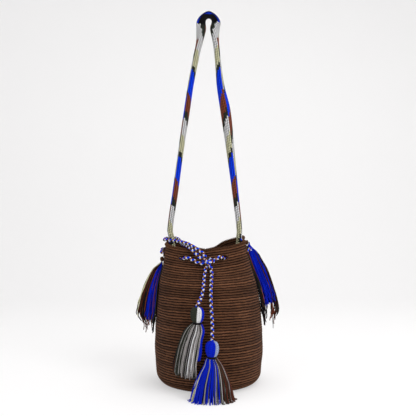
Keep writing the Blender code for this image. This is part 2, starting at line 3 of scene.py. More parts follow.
import bpy
import numpy as np
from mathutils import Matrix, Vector


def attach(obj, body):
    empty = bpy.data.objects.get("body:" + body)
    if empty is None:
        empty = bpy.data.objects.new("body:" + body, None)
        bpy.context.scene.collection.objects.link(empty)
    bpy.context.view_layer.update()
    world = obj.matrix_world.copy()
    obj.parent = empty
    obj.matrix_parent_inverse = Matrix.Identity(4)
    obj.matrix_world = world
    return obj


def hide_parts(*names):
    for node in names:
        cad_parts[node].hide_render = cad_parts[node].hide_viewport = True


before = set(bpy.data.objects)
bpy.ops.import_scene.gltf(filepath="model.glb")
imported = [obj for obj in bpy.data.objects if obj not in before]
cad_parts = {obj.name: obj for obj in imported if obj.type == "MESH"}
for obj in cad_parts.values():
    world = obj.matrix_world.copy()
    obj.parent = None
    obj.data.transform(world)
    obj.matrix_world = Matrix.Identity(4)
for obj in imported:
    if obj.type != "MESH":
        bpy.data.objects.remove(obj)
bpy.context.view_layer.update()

bl_info = {
    "name": "Crocheted drawstring bag",
    "version": (1, 0, 0),
    "blender": (4, 5, 0),
    "location": "3D View > Sidebar > Bag",
    "description": "Dresses a crocheted shoulder bag in yarn, braid and woven band",
    "category": "Add Mesh",
}

# Outline of the bag, the same values as its solids have
BASE_RADIUS = 0.092
CORNER_WIDTH = 0.023
CORNER_HEIGHT = 0.026
BELLY_RADIUS = 0.119
BELLY_HEIGHT = 0.085
# Half width, half depth and height
UPPER_OUTLINE = (
    (BASE_RADIUS + CORNER_WIDTH, BASE_RADIUS + CORNER_WIDTH, CORNER_HEIGHT),
    (BELLY_RADIUS, BELLY_RADIUS, BELLY_HEIGHT),
    (0.1105, 0.1045, 0.205),
    (0.1015, 0.084, 0.245),
    (0.091, 0.062, 0.300),
)
RIM_HEIGHT = 0.300
WALL = 0.004
CINCH_START = 0.17
MOUTH_LEAN = -0.007
GATHERS = 4
GATHER_DEPTH = 0.007
GATHER_SHIFT = 7.7
RIM_TILT = 0.03
RIM_ANGLES = (0, 30, 60, 90, 120, 150, 165, 180)
RIM_OFFSETS = (-0.014, -0.009, 0.0, 0.005, 0.012, 0.002, -0.011, -0.016)
EYELET_ANGLES = (23, 70, 110, 151, 209, 250, 288, 331)
EYELET_BELOW_RIM = 0.019
EYELET_HALF_LENGTH = 0.0075
EYELET_OPENING = (0.0116, 0.0062)
GAP = 0.0003

# Drawstring: its routes are read from the photograph in front
CORD_RADIUS = 0.004
CORD_STANDOFF = 0.003
KNOT_PLACE = (-0.0012, -0.0750, 0.2647)
LOOP_START = ((0.0088, -0.0737, 0.2650),)
LOOP_END = ((-0.0330, -0.0705, 0.2680), (-0.0220, -0.0735, 0.2625), (-0.0100, -0.0743, 0.2604))
BIGHT_ROUTE = (
    (-0.0060, -0.0750, 0.2741),
    (-0.0130, -0.0740, 0.2825),
    (-0.0250, -0.0690, 0.2915),
    (-0.0375, -0.0610, 0.2985),
    (-0.0500, -0.0510, 0.3030),
    (-0.0620, -0.0395, 0.3050),
    (-0.0740, -0.0285, 0.3070),
    (-0.0860, -0.0220, 0.3080),
    (-0.0952, -0.0135, 0.3090),
    (-0.0972, 0.0000, 0.3095),
    (-0.0952, 0.0135, 0.3115),
    (-0.0855, 0.0225, 0.3130),
    (-0.0720, 0.0195, 0.3120),
    (-0.0640, 0.0050, 0.3070),
    (-0.0595, -0.0140, 0.3015),
    (-0.0535, -0.0350, 0.2975),
    (-0.0450, -0.0515, 0.2960),
    (-0.0345, -0.0650, 0.2890),
    (-0.0245, -0.0715, 0.2790),
    (-0.0114, -0.0758, 0.2684),
)
END_LEFT_ROUTE = (
    (-0.0056, -0.0755, 0.2550),
    (-0.0080, -0.0810, 0.2430),
    (-0.0097, -0.0898, 0.2300),
    (-0.0112, -0.1030, 0.2130),
    (-0.0145, -0.1120, 0.1975),
    (-0.0195, -0.1225, 0.1880),
    (-0.0227, -0.1283, 0.1815),
    (-0.0227, -0.1283, 0.1778),
)
END_RIGHT_ROUTE = (
    (0.0036, -0.0755, 0.2550),
    (0.0060, -0.0816, 0.2415),
    (0.0052, -0.0916, 0.2280),
    (0.0042, -0.1040, 0.2110),
    (0.0040, -0.1125, 0.1950),
    (0.0046, -0.1203, 0.1790),
    (0.0058, -0.1255, 0.1600),
    (0.0068, -0.1290, 0.1400),
    (0.0064, -0.1326, 0.1200),
    (0.0063, -0.1326, 0.1118),
)

# Strap: its route gives place across, height, how far it is folded in radians and its turn in degrees
STRAP_WIDTH = 0.036
STRAP_THICKNESS = 0.003
STRAP_FOOT_BELOW_RIM = 0.012
STRAP_FOOT_INWARDS = 0.003
STRAP_FOOT_RISE = 0.7
STRAP_FOOT_FOLDS = ((0.05, -180), (1.4, -160), (3.2, -108), (3.6, -95))
FOLD_SHARPNESS = 0.005
CENTRED_FOLD = 2.5
STRAP_ROUTE = (
    (-0.0850, 0.330, 3.6, -92),
    (-0.0730, 0.418, 3.5, -90),
    (-0.0610, 0.506, 3.6, -90),
    (-0.0480, 0.594, 3.4, -90),
    (-0.0395, 0.650, 3.5, -92),
    (-0.0290, 0.705, 3.4, -90),
    (-0.0200, 0.745, 3.2, -82),
    (-0.0130, 0.775, 2.3, -48),
    (-0.0080, 0.7935, 0.9, -8),
    (0.0000, 0.8000, 0.6, 0),
    (0.0080, 0.7930, 0.9, -8),
    (0.0105, 0.775, 2.4, -54),
    (0.0155, 0.745, 3.3, -86),
    (0.0200, 0.705, 3.4, -90),
    (0.0260, 0.650, 3.0, -90),
    (0.0370, 0.594, 2.5, -90),
    (0.0480, 0.506, 2.9, -90),
    (0.0580, 0.418, 3.3, -90),
    (0.0675, 0.330, 3.6, -92),
)

# Tassels: a skirt's rows give place across, height, half width and half depth
HEAD_RADIUS = 0.0135
HEAD_HEIGHT = 0.029
HEAD_DROPS = (0.0, 0.035, 0.12, 0.28, 0.5, 0.75, 0.92, 1.0)
HEAD_SHARES = (0.24, 0.50, 0.78, 0.96, 1.0, 0.92, 0.74, 0.58)
HEAD_YARNS = 72
HEAD_SWIRL = 0.18
HEAD_YARN_RADIUS = 0.00085
HEAD_TOP_RISE = 0.0012
HEAD_EXTRA_LENGTH = 0.0015
SKIRT_STEPS = 26
SKIRT_WAVE = 0.0011
# How much shorter a skirt is at its left side, and how much shorter its blue yarns are
SKIRT_SLANT = 0.008
BLUE_SHORTER = 0.035
GOLDEN_TURN = 0.61803
TIE_TURNS = 3.6
TIE_STEPS = 110
TIE_YARN_RADIUS = 0.0008
TIE_OUTSIDE = 0.0006
TIE_DROP = (0.0010, 0.0022)
LEFT_SKIRT_YARNS = 190
RIGHT_SKIRT_YARNS = 260
RIGHT_SKIRT_FLOOR = 0.0004
LEFT_TASSEL_PLACE = (-0.0227, 0.1775)
RIGHT_TASSEL_PLACE = (0.0063, 0.1115)
LEFT_SKIRT = (
    (-0.0238, 0.1470, 0.0090, 0.0090),
    (-0.0262, 0.1400, 0.0165, 0.0120),
    (-0.0290, 0.1310, 0.0220, 0.0135),
    (-0.0345, 0.1140, 0.0240, 0.0145),
    (-0.0390, 0.0930, 0.0265, 0.0150),
    (-0.0430, 0.0700, 0.0270, 0.0150),
    (-0.0450, 0.0500, 0.0275, 0.0145),
    (-0.0450, 0.0400, 0.0260, 0.0130),
)
RIGHT_SKIRT = (
    (0.0065, 0.0812, 0.0090, 0.0090),
    (0.0068, 0.0760, 0.0140, 0.0120),
    (0.0090, 0.0660, 0.0200, 0.0140),
    (0.0088, 0.0500, 0.0290, 0.0165),
    (0.0078, 0.0300, 0.0370, 0.0200),
    (0.0070, 0.0120, 0.0415, 0.0250),
    (0.0070, 0.0006, 0.0440, 0.0290),
)

# Side fringes
FRINGE_STEPS = 34
FRINGE_YARN_RADIUS = 0.00085
FRINGE_LOCKS = 7
FRINGE_STANDOFF = 0.0012
FRINGE_SWING = 0.0015
FRINGE_LEAN = 0.0013
FRINGE_RAGGEDNESS = 0.0029
LEFT_FRINGE_YARNS = 230
RIGHT_FRINGE_YARNS = 240
FRINGE_KNOT_TURNS = 5
FRINGE_KNOT_STEPS = 90
FRINGE_KNOT_HALF_HEIGHT = 0.0044
FRINGE_KNOT_RADIUS = 0.0037
FRINGE_KNOT_ROUND = 0.0052
FRINGE_KNOT_YARN_RADIUS = 0.0010
# Height and distance from the bag's middle
LEFT_FRINGE_KNOT = (0.2669, 0.1027)
RIGHT_FRINGE_KNOT = (0.3031, 0.0831)
# Height, distance from the bag's middle and half width
LEFT_FRINGE = (
    (0.2660, 0.1030, 0.0030),
    (0.2621, 0.1038, 0.0048),
    (0.2470, 0.1150, 0.0070),
    (0.2200, 0.1260, 0.0110),
    (0.1940, 0.1325, 0.0160),
    (0.1680, 0.1365, 0.0190),
    (0.1450, 0.1375, 0.0185),
    (0.1250, 0.1360, 0.0120),
)
RIGHT_FRINGE = (
    (0.3040, 0.0890, 0.0030),
    (0.3020, 0.0925, 0.0048),
    (0.2930, 0.0985, 0.0054),
    (0.2700, 0.1060, 0.0085),
    (0.2470, 0.1135, 0.0135),
    (0.1950, 0.1300, 0.0170),
    (0.1550, 0.1345, 0.0170),
    (0.1310, 0.1345, 0.0105),
)


# Sizes and colours that a user may change


class BagSizes(bpy.types.PropertyGroup):
    """How the yarn is worked."""

    row_pitch: bpy.props.FloatProperty(
        name="Row height", description="Height of one crocheted row", default=0.0054, unit="LENGTH"
    )
    row_depth: bpy.props.FloatProperty(
        name="Row depth",
        description="How deep the grooves between rows are",
        default=0.0024,
        unit="LENGTH",
    )
    stitch_depth: bpy.props.FloatProperty(
        name="Stitch depth",
        description="How far each stitch stands out of its row",
        default=0.0009,
        unit="LENGTH",
    )
    stitches: bpy.props.IntProperty(
        name="Stitches", description="Stitches in one row round the bag", default=120
    )
    braid_pitch: bpy.props.FloatProperty(
        name="Braid pitch",
        description="Length of the cord in which a strand goes once round",
        default=0.011,
        unit="LENGTH",
    )
    yarn_radius: bpy.props.FloatProperty(
        name="Yarn radius", description="Radius of a tassel's yarn", default=0.00095, unit="LENGTH"
    )
    band_period: bpy.props.FloatProperty(
        name="Band period",
        description="Length of the strap in which its colours repeat",
        default=0.190,
        unit="LENGTH",
    )


def colour_property(label, words, value):
    """A colour that a user may change."""
    return bpy.props.FloatVectorProperty(
        name=label, description=words, default=value, size=3, min=0, max=1, subtype="COLOR"
    )


class BagColours(bpy.types.PropertyGroup):
    """The colours of the yarns and of the studio, with a painted shade for the bag's grooves."""

    brown: colour_property("Brown", "Yarn of the bag on its ridges", (0.104, 0.0450, 0.0225))
    # Painted shade: the bag's brown yarn as it looks shaded down in its grooves, not a yarn of its own
    brown_groove_shade: colour_property(
        "Groove shade brown", "Yarn of the bag down in its grooves", (0.012, 0.0042, 0.0022)
    )
    blue: colour_property("Blue", "Blue yarn of the tassels and fringes", (0.0008, 0.016, 0.56))
    bright_blue: colour_property("Bright blue", "Blue of the cord and the strap", (0.002, 0.052, 0.95))
    pale_blue: colour_property("Pale blue", "Pale blue yarn", (0.33, 0.39, 0.60))
    white: colour_property("White", "White yarn of the cord and the tassel heads", (0.76, 0.76, 0.77))
    grey: colour_property("Grey", "Light grey yarn of the skirts", (0.37, 0.345, 0.34))
    olive: colour_property("Olive", "Dark olive yarn", (0.032, 0.036, 0.026))
    rust: colour_property("Rust", "Rust yarn of the cord and the strap", (0.24, 0.058, 0.028))
    russet: colour_property("Russet", "Dark rust yarn of the skirts", (0.092, 0.025, 0.014))
    cream: colour_property("Cream", "Pale yellow yarn", (0.64, 0.62, 0.40))
    black: colour_property("Black", "Nearly black yarn", (0.008, 0.007, 0.009))
    backdrop: colour_property("Backdrop", "Floor and backdrop", (0.965, 0.957, 0.957))


def sizes():
    """The sizes that the scene holds."""
    return bpy.context.scene.bag_sizes


def colours():
    """The colours that the scene holds."""
    return bpy.context.scene.bag_colours


# Curves and the shape of the bag


def smooth_read(knots, values, at):
    """Reads a smooth curve through values, given at rising knots, at any number of places."""
    knots, values, at = np.asarray(knots, float), np.asarray(values, float), np.asarray(at, float)
    before = np.maximum(np.arange(len(knots)) - 1, 0)
    after = np.minimum(np.arange(len(knots)) + 1, len(knots) - 1)
    spans = knots[after] - knots[before]
    more = (1,) * (values.ndim - 1)
    slopes = (values[after] - values[before]) / spans.reshape(-1, *more)
    at = np.clip(at, knots[0], knots[-1])
    i = np.clip(np.searchsorted(knots, at, side="right") - 1, 0, len(knots) - 2)
    span = (knots[i + 1] - knots[i]).reshape(at.shape + more)
    t = ((at - knots[i]) / (knots[i + 1] - knots[i])).reshape(at.shape + more)
    low = (2 * t**3 - 3 * t**2 + 1) * values[i] + (t**3 - 2 * t**2 + t) * span * slopes[i]
    return low + (3 * t**2 - 2 * t**3) * values[i + 1] + (t**3 - t**2) * span * slopes[i + 1]


def eased(low, high, at):
    """From 0 at low to 1 at high, smoothly."""
    t = np.clip((np.asarray(at, float) - low) / (high - low), 0, 1)
    return t * t * (3 - 2 * t)


def normalised(v):
    """The same directions, each of length 1."""
    return v / np.maximum(np.linalg.norm(v, axis=-1, keepdims=True), 1e-12)


def outline():
    """The bag's outline: distance along it, half width, half depth and height, as rows."""
    turn = np.linspace(0, math.pi / 2, 13)
    reach = BASE_RADIUS + CORNER_WIDTH * np.sin(turn)
    corner = np.stack([reach, reach, CORNER_HEIGHT * (1 - np.cos(turn))], 1)
    upper = np.array(UPPER_OUTLINE)
    z = np.linspace(CORNER_HEIGHT, RIM_HEIGHT, 81)[1:]
    points = np.vstack([corner, np.column_stack([smooth_read(upper[:, 2], upper[:, :2], z), z])])
    steps = np.hypot(np.diff(points[:, 0]), np.diff(points[:, 2]))
    return np.column_stack([np.concatenate([[0], np.cumsum(steps)]), points])


OUTLINE = outline()
OUTLINE_LENGTH = OUTLINE[-1, 0]


def outline_at(s):
    """Half width, half depth and height at a distance along the outline."""
    s = np.clip(s, 0, OUTLINE_LENGTH)
    return [np.interp(s, OUTLINE[:, 0], OUTLINE[:, k]) for k in (1, 2, 3)]


def bag_point(angle, s, inset=0.0):
    """Points of the bag's wall: angle round it in degrees, distance along the outline, depth in."""
    angle, s, inset = np.broadcast_arrays(
        np.asarray(angle, float), np.asarray(s, float), np.asarray(inset, float)
    )
    width, depth, z = outline_at(s)
    below, above = outline_at(s - 0.001), outline_at(s + 0.001)
    run, rise = above[0] - below[0], above[2] - below[2]
    length = np.hypot(run, rise)
    out, down = rise / length, run / length
    share = eased(CINCH_START, RIM_HEIGHT, z)
    turn = np.radians(angle)
    phase = turn - math.radians(GATHER_SHIFT) * np.sin(2 * turn)
    gather = -GATHER_DEPTH * share * np.cos(GATHERS * phase)
    x = (width + gather - inset * out) * np.sin(turn) + MOUTH_LEAN * share
    y = -(depth + gather - inset * out) * np.cos(turn)
    turned = np.abs((angle + 180) % 360 - 180)
    rim = smooth_read(RIM_ANGLES, RIM_OFFSETS, turned)
    return np.stack([x, y, z + inset * down + share * (rim + RIM_TILT * x)], -1)


def wall_frame(angle, s):
    """The wall's outer face at points: the point, out of the wall, along the row, up the wall."""
    angle, s = np.broadcast_arrays(np.asarray(angle, float), np.asarray(s, float))
    along = normalised(bag_point(angle + 1, s) - bag_point(angle - 1, s))
    above = np.minimum(s + 0.002, OUTLINE_LENGTH)
    up = normalised(bag_point(angle, above) - bag_point(angle, s - 0.002))
    out = normalised(np.cross(along, up))
    return bag_point(angle, s), out, along, np.cross(out, along)


def off_wall(angle, below_rim, height):
    """Points at a height off the wall's outer face."""
    here, out, _, _ = wall_frame(angle, OUTLINE_LENGTH - below_rim)
    return here + out * height


def wall_radius(z):
    """How far the widest ridge at or above a height is from the bag's axis."""
    side = OUTLINE[OUTLINE[:, 3] >= BELLY_HEIGHT]
    return np.interp(z, side[:, 3], side[:, 1])


# Meshes


def grid_faces(rows, columns, wrap_rows=False):
    """The faces of a grid that closes across its columns, and each face corner's grid place."""
    last = rows if wrap_rows else rows - 1
    i, j = np.meshgrid(np.arange(last), np.arange(columns), indexing="ij")
    i, j = i.ravel(), j.ravel()
    below, beside = (i + 1) % rows, (j + 1) % columns
    here, under = i * columns, below * columns
    faces = np.stack([here + j, here + beside, under + beside, under + j], 1)
    place_i = np.stack([i, i, i + 1, i + 1], 1)
    place_j = np.stack([j, j + 1, j + 1, j], 1)
    return faces, place_i, place_j


def mesh_piece(name, points, faces, uv, materials, index=None, caps=()):
    """A smooth-shaded mesh for a piece of the bag."""
    made = bpy.data.meshes.new(name)
    every = np.asarray(faces).tolist() + list(caps)
    made.from_pydata(np.asarray(points).reshape(-1, 3).tolist(), [], every)
    layer = made.uv_layers.new(name="UVMap")
    values = np.zeros((len(made.loops), 2))
    flat = np.asarray(uv).reshape(-1, 2)
    values[: len(flat)] = flat
    layer.data.foreach_set("uv", values.ravel())
    for finish in materials:
        made.materials.append(finish)
    if index is not None:
        every = np.zeros(len(made.polygons), int)
        every[: len(index)] = index
        made.polygons.foreach_set("material_index", every)
    made.shade_smooth()
    made.update()
    piece = bpy.data.objects.new(name, made)
    bpy.context.scene.collection.objects.link(piece)
    return piece


def dress(piece, slot, *nodes):
    """The piece rides on the bag and stands for the solids; the slot is not used."""
    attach(piece, "root")
    if nodes:
        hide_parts(*nodes)
    return piece


def tubes(paths, radii, sideways, sides=6):
    """Yarns along equally long paths, closed at both ends: points, faces and UVs.

    UVs are the yarn's number plus the share round it, and the length along it in centimetres.
    """
    paths = np.asarray(paths, float)
    count, steps, _ = paths.shape
    ahead = normalised(np.gradient(paths, axis=1))
    radii = np.broadcast_to(np.asarray(radii, float), (count, steps))
    across = normalised(np.cross(ahead, np.broadcast_to(sideways, paths.shape)))
    other = np.cross(ahead, across)
    turn = 2 * math.pi * np.arange(sides) / sides
    ring = np.cos(turn)[:, None] * across[:, :, None, :] + np.sin(turn)[:, None] * other[:, :, None, :]
    points = paths[:, :, None, :] + ring * radii[:, :, None, None]
    faces, place_i, place_j = grid_faces(steps, sides)
    shift = np.arange(count)[:, None, None] * steps * sides
    lengths = np.concatenate(
        [np.zeros((count, 1)), np.cumsum(np.linalg.norm(np.diff(paths, axis=1), axis=2), axis=1)], 1
    )
    u = place_j / sides + np.arange(count)[:, None, None]
    uv = np.stack([u, lengths[:, place_i] * 100], -1)
    ends = []
    for first, flip in ((0, True), ((steps - 1) * sides, False)):
        fan = np.array([[0, k, k + 1, k + 2] for k in range(1, sides - 1, 2)]) + first
        ends.append(fan[:, ::-1] if flip else fan)
    ends = np.vstack(ends)
    every = np.vstack([faces, ends])[None] + shift
    end_uv = np.zeros((count, len(ends), 4, 2))
    return points.reshape(-1, 3), every.reshape(-1, 4), np.concatenate([uv, end_uv], 1).reshape(-1, 4, 2)


def carried(path, first):
    """A sideways direction at each point of a path, carried along without twist."""
    ahead = normalised(np.gradient(path, axis=0))
    side = np.asarray(first, float)
    kept = []
    for a in ahead:
        side = side - a * side.dot(a)
        side = side / np.linalg.norm(side)
        kept.append(side)
    return np.array(kept), ahead


def even_route(points, step):
    """Evenly spaced points of one smooth curve through the route's own."""
    own = np.asarray(points, float)
    knots = np.concatenate([[0], np.cumsum(np.linalg.norm(np.diff(own, axis=0), axis=1))])
    fine = smooth_read(knots, own, np.linspace(0, knots[-1], 1200))
    along = np.concatenate([[0], np.cumsum(np.linalg.norm(np.diff(fine, axis=0), axis=1))])
    at = np.linspace(0, along[-1], max(8, round(along[-1] / step)))
    return np.column_stack([np.interp(at, along, fine[:, k]) for k in range(3)])


# Materials


def new_group(name, inputs, outputs):
    """A shader node group with named sockets: (name, kind, default)."""
    tree = bpy.data.node_groups.new(name, "ShaderNodeTree")
    for label, kind, default in inputs:
        socket = tree.interface.new_socket(label, in_out="INPUT", socket_type=kind)
        if default is not None:
            socket.default_value = default
    for label, kind in outputs:
        tree.interface.new_socket(label, in_out="OUTPUT", socket_type=kind)
    return tree, tree.nodes.new("NodeGroupInput"), tree.nodes.new("NodeGroupOutput")


def wire(tree, value, socket):
    """Joins an output to a socket, or sets the socket's value."""
    if isinstance(value, bpy.types.NodeSocket):
        tree.links.new(value, socket)
    else:
        socket.default_value = value


def math_node(tree, operation, *values):
    """The result of a Math node."""
    made = tree.nodes.new("ShaderNodeMath")
    made.operation = operation
    for value, socket in zip(values, made.inputs):
        wire(tree, value, socket)
    return made.outputs[0]


def vector_node(tree, operation, *values):
    """A Vector Math node."""
    made = tree.nodes.new("ShaderNodeVectorMath")
    made.operation = operation
    for value, socket in zip(values, made.inputs):
        wire(tree, value, socket)
    return made


def noise(tree, place, scale, detail=3.0, roughness=0.6):
    """A noise value at a place."""
    made = tree.nodes.new("ShaderNodeTexNoise")
    wire(tree, place, made.inputs["Vector"])
    made.inputs["Scale"].default_value = scale
    made.inputs["Detail"].default_value = detail
    made.inputs["Roughness"].default_value = roughness
    return made.outputs["Fac"]


def mixed(tree, share, first, second):
    """A mix of two colours."""
    made = tree.nodes.new("ShaderNodeMix")
    made.data_type = "RGBA"
    wire(tree, share, made.inputs[0])
    wire(tree, first, made.inputs[6])
    wire(tree, second, made.inputs[7])
    return made.outputs[2]


def stretched(tree, value, low, high, to_low=0.0, to_high=1.0):
    """A value moved from one range to another."""
    made = tree.nodes.new("ShaderNodeMapRange")
    made.interpolation_type = "SMOOTHSTEP"
    for socket, given in zip(made.inputs, (value, low, high, to_low, to_high)):
        wire(tree, given, socket)
    return made.outputs[0]


def split_uv(tree):
    """The two parts of the mesh's UV, and where a point of the mesh is."""
    place = tree.nodes.new("ShaderNodeTexCoord")
    parts = tree.nodes.new("ShaderNodeSeparateXYZ")
    tree.links.new(place.outputs["UV"], parts.inputs[0])
    return parts.outputs[0], parts.outputs[1], place.outputs["Object"]


def yarn_ply_group():
    """Plies twisted round a yarn, with loose fibres: a height, a groove mask for painted shade between
    the plies, and a shade.
    """
    tree, given, out = new_group(
        "yarn plies",
        [
            ("Around", "NodeSocketFloat", 0.0),
            ("Along", "NodeSocketFloat", 0.0),
            ("Place", "NodeSocketVector", None),
            ("Plies", "NodeSocketFloat", 3.0),
            ("Turns", "NodeSocketFloat", 2.5),
        ],
        [("Height", "NodeSocketFloat"), ("Ridge", "NodeSocketFloat"), ("Shade", "NodeSocketFloat")],
    )
    own = tree.nodes.new("ShaderNodeTexWhiteNoise")
    own.noise_dimensions = "1D"
    wire(tree, math_node(tree, "FLOOR", given.outputs["Around"]), own.inputs["W"])
    along, turns = given.outputs["Along"], given.outputs["Turns"]
    spin = math_node(tree, "MULTIPLY_ADD", along, turns, own.outputs["Value"])
    turn = math_node(tree, "MULTIPLY_ADD", given.outputs["Around"], given.outputs["Plies"], spin)
    wave = math_node(tree, "SINE", math_node(tree, "MULTIPLY", turn, 2 * math.pi))
    ridge = math_node(tree, "POWER", math_node(tree, "MULTIPLY_ADD", wave, 0.5, 0.5), 0.6)
    fibres = noise(tree, given.outputs["Place"], 1500.0, 2.0)
    patches = noise(tree, given.outputs["Place"], 160.0, 2.0)
    wire(tree, math_node(tree, "MULTIPLY_ADD", fibres, 0.35, ridge), out.inputs["Height"])
    wire(tree, ridge, out.inputs["Ridge"])
    by_yarn = math_node(tree, "MULTIPLY", own.outputs["Value"], 0.4)
    mild = math_node(tree, "MULTIPLY_ADD", patches, 0.3, by_yarn)
    wire(tree, math_node(tree, "MULTIPLY_ADD", fibres, 0.3, mild), out.inputs["Shade"])
    return tree


def crochet_group():
    """Crocheted stitches: slanted legs of twisted yarn in rows, with a groove below each row; the ridge
    mask marks painted shade in the grooves, in the pits between stitches and in uneven patches.
    """
    tree, given, out = new_group(
        "crochet stitches",
        [
            ("Stitch", "NodeSocketFloat", 0.0),
            ("Row", "NodeSocketFloat", 0.0),
            ("Place", "NodeSocketVector", None),
        ],
        [("Height", "NodeSocketFloat"), ("Ridge", "NodeSocketFloat"), ("Shade", "NodeSocketFloat")],
    )
    in_row = math_node(tree, "FRACT", given.outputs["Row"])
    row = math_node(tree, "FLOOR", given.outputs["Row"])
    even = math_node(tree, "MULTIPLY", row, 0.5)
    lean = math_node(tree, "MULTIPLY_ADD", in_row, 0.55, even)
    stitch = math_node(tree, "ADD", given.outputs["Stitch"], lean)
    ridge = math_node(tree, "SINE", math_node(tree, "MULTIPLY", in_row, math.pi))
    wave = math_node(tree, "SINE", math_node(tree, "MULTIPLY", stitch, 2 * math.pi))
    legs = math_node(tree, "ABSOLUTE", wave)
    ply = math_node(tree, "MULTIPLY_ADD", in_row, 3.0, math_node(tree, "MULTIPLY", stitch, 5.0))
    plies = math_node(tree, "SINE", math_node(tree, "MULTIPLY", ply, 2 * math.pi))
    fibres = noise(tree, given.outputs["Place"], 1100.0, 3.0)
    patches = noise(tree, given.outputs["Place"], 28.0, 3.0)
    height = math_node(tree, "MULTIPLY_ADD", plies, 0.16, math_node(tree, "MULTIPLY", legs, 0.55))
    height = math_node(tree, "MULTIPLY", height, ridge)
    wire(tree, math_node(tree, "MULTIPLY_ADD", fibres, 0.3, height), out.inputs["Height"])
    # Painted shade: the pits between the stitch legs, and uneven patches from noise, darken like the
    # grooves
    closed = math_node(tree, "MULTIPLY_ADD", legs, 0.75, -0.38)
    patchy_groove_shade = math_node(tree, "MULTIPLY_ADD", noise(tree, given.outputs["Place"], 170.0, 2.0), 0.9, -0.45)
    filled = math_node(tree, "ADD", closed, patchy_groove_shade)
    deep = math_node(tree, "ADD", math_node(tree, "POWER", ridge, 1.7), filled)
    wire(tree, deep, out.inputs["Ridge"])
    by_row = tree.nodes.new("ShaderNodeTexWhiteNoise")
    by_row.noise_dimensions = "1D"
    wire(tree, row, by_row.inputs["W"])
    own_row = math_node(tree, "MULTIPLY", by_row.outputs["Value"], 0.22)
    mild = math_node(tree, "MULTIPLY_ADD", patches, 0.3, own_row)
    wire(tree, math_node(tree, "MULTIPLY_ADD", fibres, 0.48, mild), out.inputs["Shade"])
    return tree


def weave_group():
    """A band woven of twined pairs: slanted pips in lengthwise files, and its snapped place."""
    tree, given, out = new_group(
        "band weave",
        [
            ("Across", "NodeSocketFloat", 0.0),
            ("Along", "NodeSocketFloat", 0.0),
            ("Place", "NodeSocketVector", None),
        ],
        [
            ("Height", "NodeSocketFloat"),
            ("Ridge", "NodeSocketFloat"),
            ("Shade", "NodeSocketFloat"),
            ("File", "NodeSocketFloat"),
            ("Pick", "NodeSocketFloat"),
        ],
    )
    in_file = math_node(tree, "FRACT", given.outputs["Across"])
    file = math_node(tree, "FLOOR", given.outputs["Across"])
    side = math_node(tree, "MULTIPLY", math_node(tree, "MODULO", file, 2.0), 0.5)
    slanted = math_node(tree, "MULTIPLY_ADD", in_file, 0.5, given.outputs["Along"])
    slanted = math_node(tree, "ADD", slanted, side)
    in_pick = math_node(tree, "FRACT", slanted)
    wide = math_node(tree, "SINE", math_node(tree, "MULTIPLY", in_file, math.pi))
    tall = math_node(tree, "SINE", math_node(tree, "MULTIPLY", in_pick, math.pi))
    pip = math_node(tree, "POWER", math_node(tree, "MULTIPLY", wide, tall), 0.6)
    fibres = noise(tree, given.outputs["Place"], 1400.0, 2.0)
    wire(tree, math_node(tree, "MULTIPLY_ADD", fibres, 0.25, pip), out.inputs["Height"])
    wire(tree, pip, out.inputs["Ridge"])
    wire(tree, fibres, out.inputs["Shade"])
    wire(tree, file, out.inputs["File"])
    wire(tree, math_node(tree, "FLOOR", slanted), out.inputs["Pick"])
    return tree


def group_node(tree, group, **values):
    """A group placed in a material with its own values."""
    made = tree.nodes.new("ShaderNodeGroup")
    made.node_tree = group
    for label, value in values.items():
        wire(tree, value, made.inputs[label])
    return made.outputs


def surface(name, roughness=0.9, sheen=0.03):
    """A material with its shader: the node tree and the shader."""
    made = bpy.data.materials.new(name)
    made.use_nodes = True
    shader = made.node_tree.nodes["Principled BSDF"]
    shader.inputs["Roughness"].default_value = roughness
    shader.inputs["Sheen Weight"].default_value = sheen
    shader.inputs["Sheen Roughness"].default_value = 0.5
    shader.inputs["Specular IOR Level"].default_value = 0.06
    return made, made.node_tree, shader


def raise_bump(tree, shader, height, strength, distance):
    """Bumps the surface by a height."""
    bump = tree.nodes.new("ShaderNodeBump")
    bump.inputs["Strength"].default_value = strength
    bump.inputs["Distance"].default_value = distance
    wire(tree, height, bump.inputs["Height"])
    tree.links.new(bump.outputs["Normal"], shader.inputs["Normal"])


def shaded(tree, base, ply_shade_share, ridge, shade, spread=0.2):
    """A yarn's colour: painted shade between its plies, and uneven from fibre to fibre."""
    # Painted shade: the yarn's colour darkened in the grooves between its plies
    dark = tuple(c * ply_shade_share for c in base) + (1,)
    full = tuple(c * 0.75 for c in base) + (1,)
    pale = tuple(min(1.0, c * (1 + spread)) for c in base) + (1,)
    lit = mixed(tree, stretched(tree, shade, 0.25, 0.75), full, pale)
    return mixed(tree, stretched(tree, ridge, 0.0, 0.75), dark, lit)


def yarn_material(name, base, group, plies=3.0, turns=2.5, ply_shade_share=0.3):
    """Twisted yarn of one colour."""
    made, tree, shader = surface(name)
    around, along, place = split_uv(tree)
    got = group_node(tree, group, Around=around, Along=along, Place=place, Plies=plies, Turns=turns)
    tone = shaded(tree, base, ply_shade_share, got["Ridge"], got["Shade"])
    tree.links.new(tone, shader.inputs["Base Color"])
    raise_bump(tree, shader, got["Height"], 0.7, 0.0004)
    return made


def crochet_material(name, ridge_colour, groove_shade_colour, group):
    """The bag's crocheted yarn, with painted shade in its grooves and between its stitches."""
    made, tree, shader = surface(name)
    stitch, row, place = split_uv(tree)
    got = group_node(tree, group, Stitch=stitch, Row=row, Place=place)
    pale = tuple(c * 1.85 for c in ridge_colour) + (1,)
    plain = tuple(c * 0.72 for c in ridge_colour) + (1,)
    lit = mixed(tree, stretched(tree, got["Shade"], 0.35, 0.65), plain, pale)
    # Painted shade: the groove colour goes where the mask marks grooves, stitch pits and patches
    colour = mixed(tree, stretched(tree, got["Ridge"], 0.38, 0.90), tuple(groove_shade_colour) + (1,), lit)
    tree.links.new(colour, shader.inputs["Base Color"])
    raise_bump(tree, shader, got["Height"], 0.8, 0.0009)
    return made


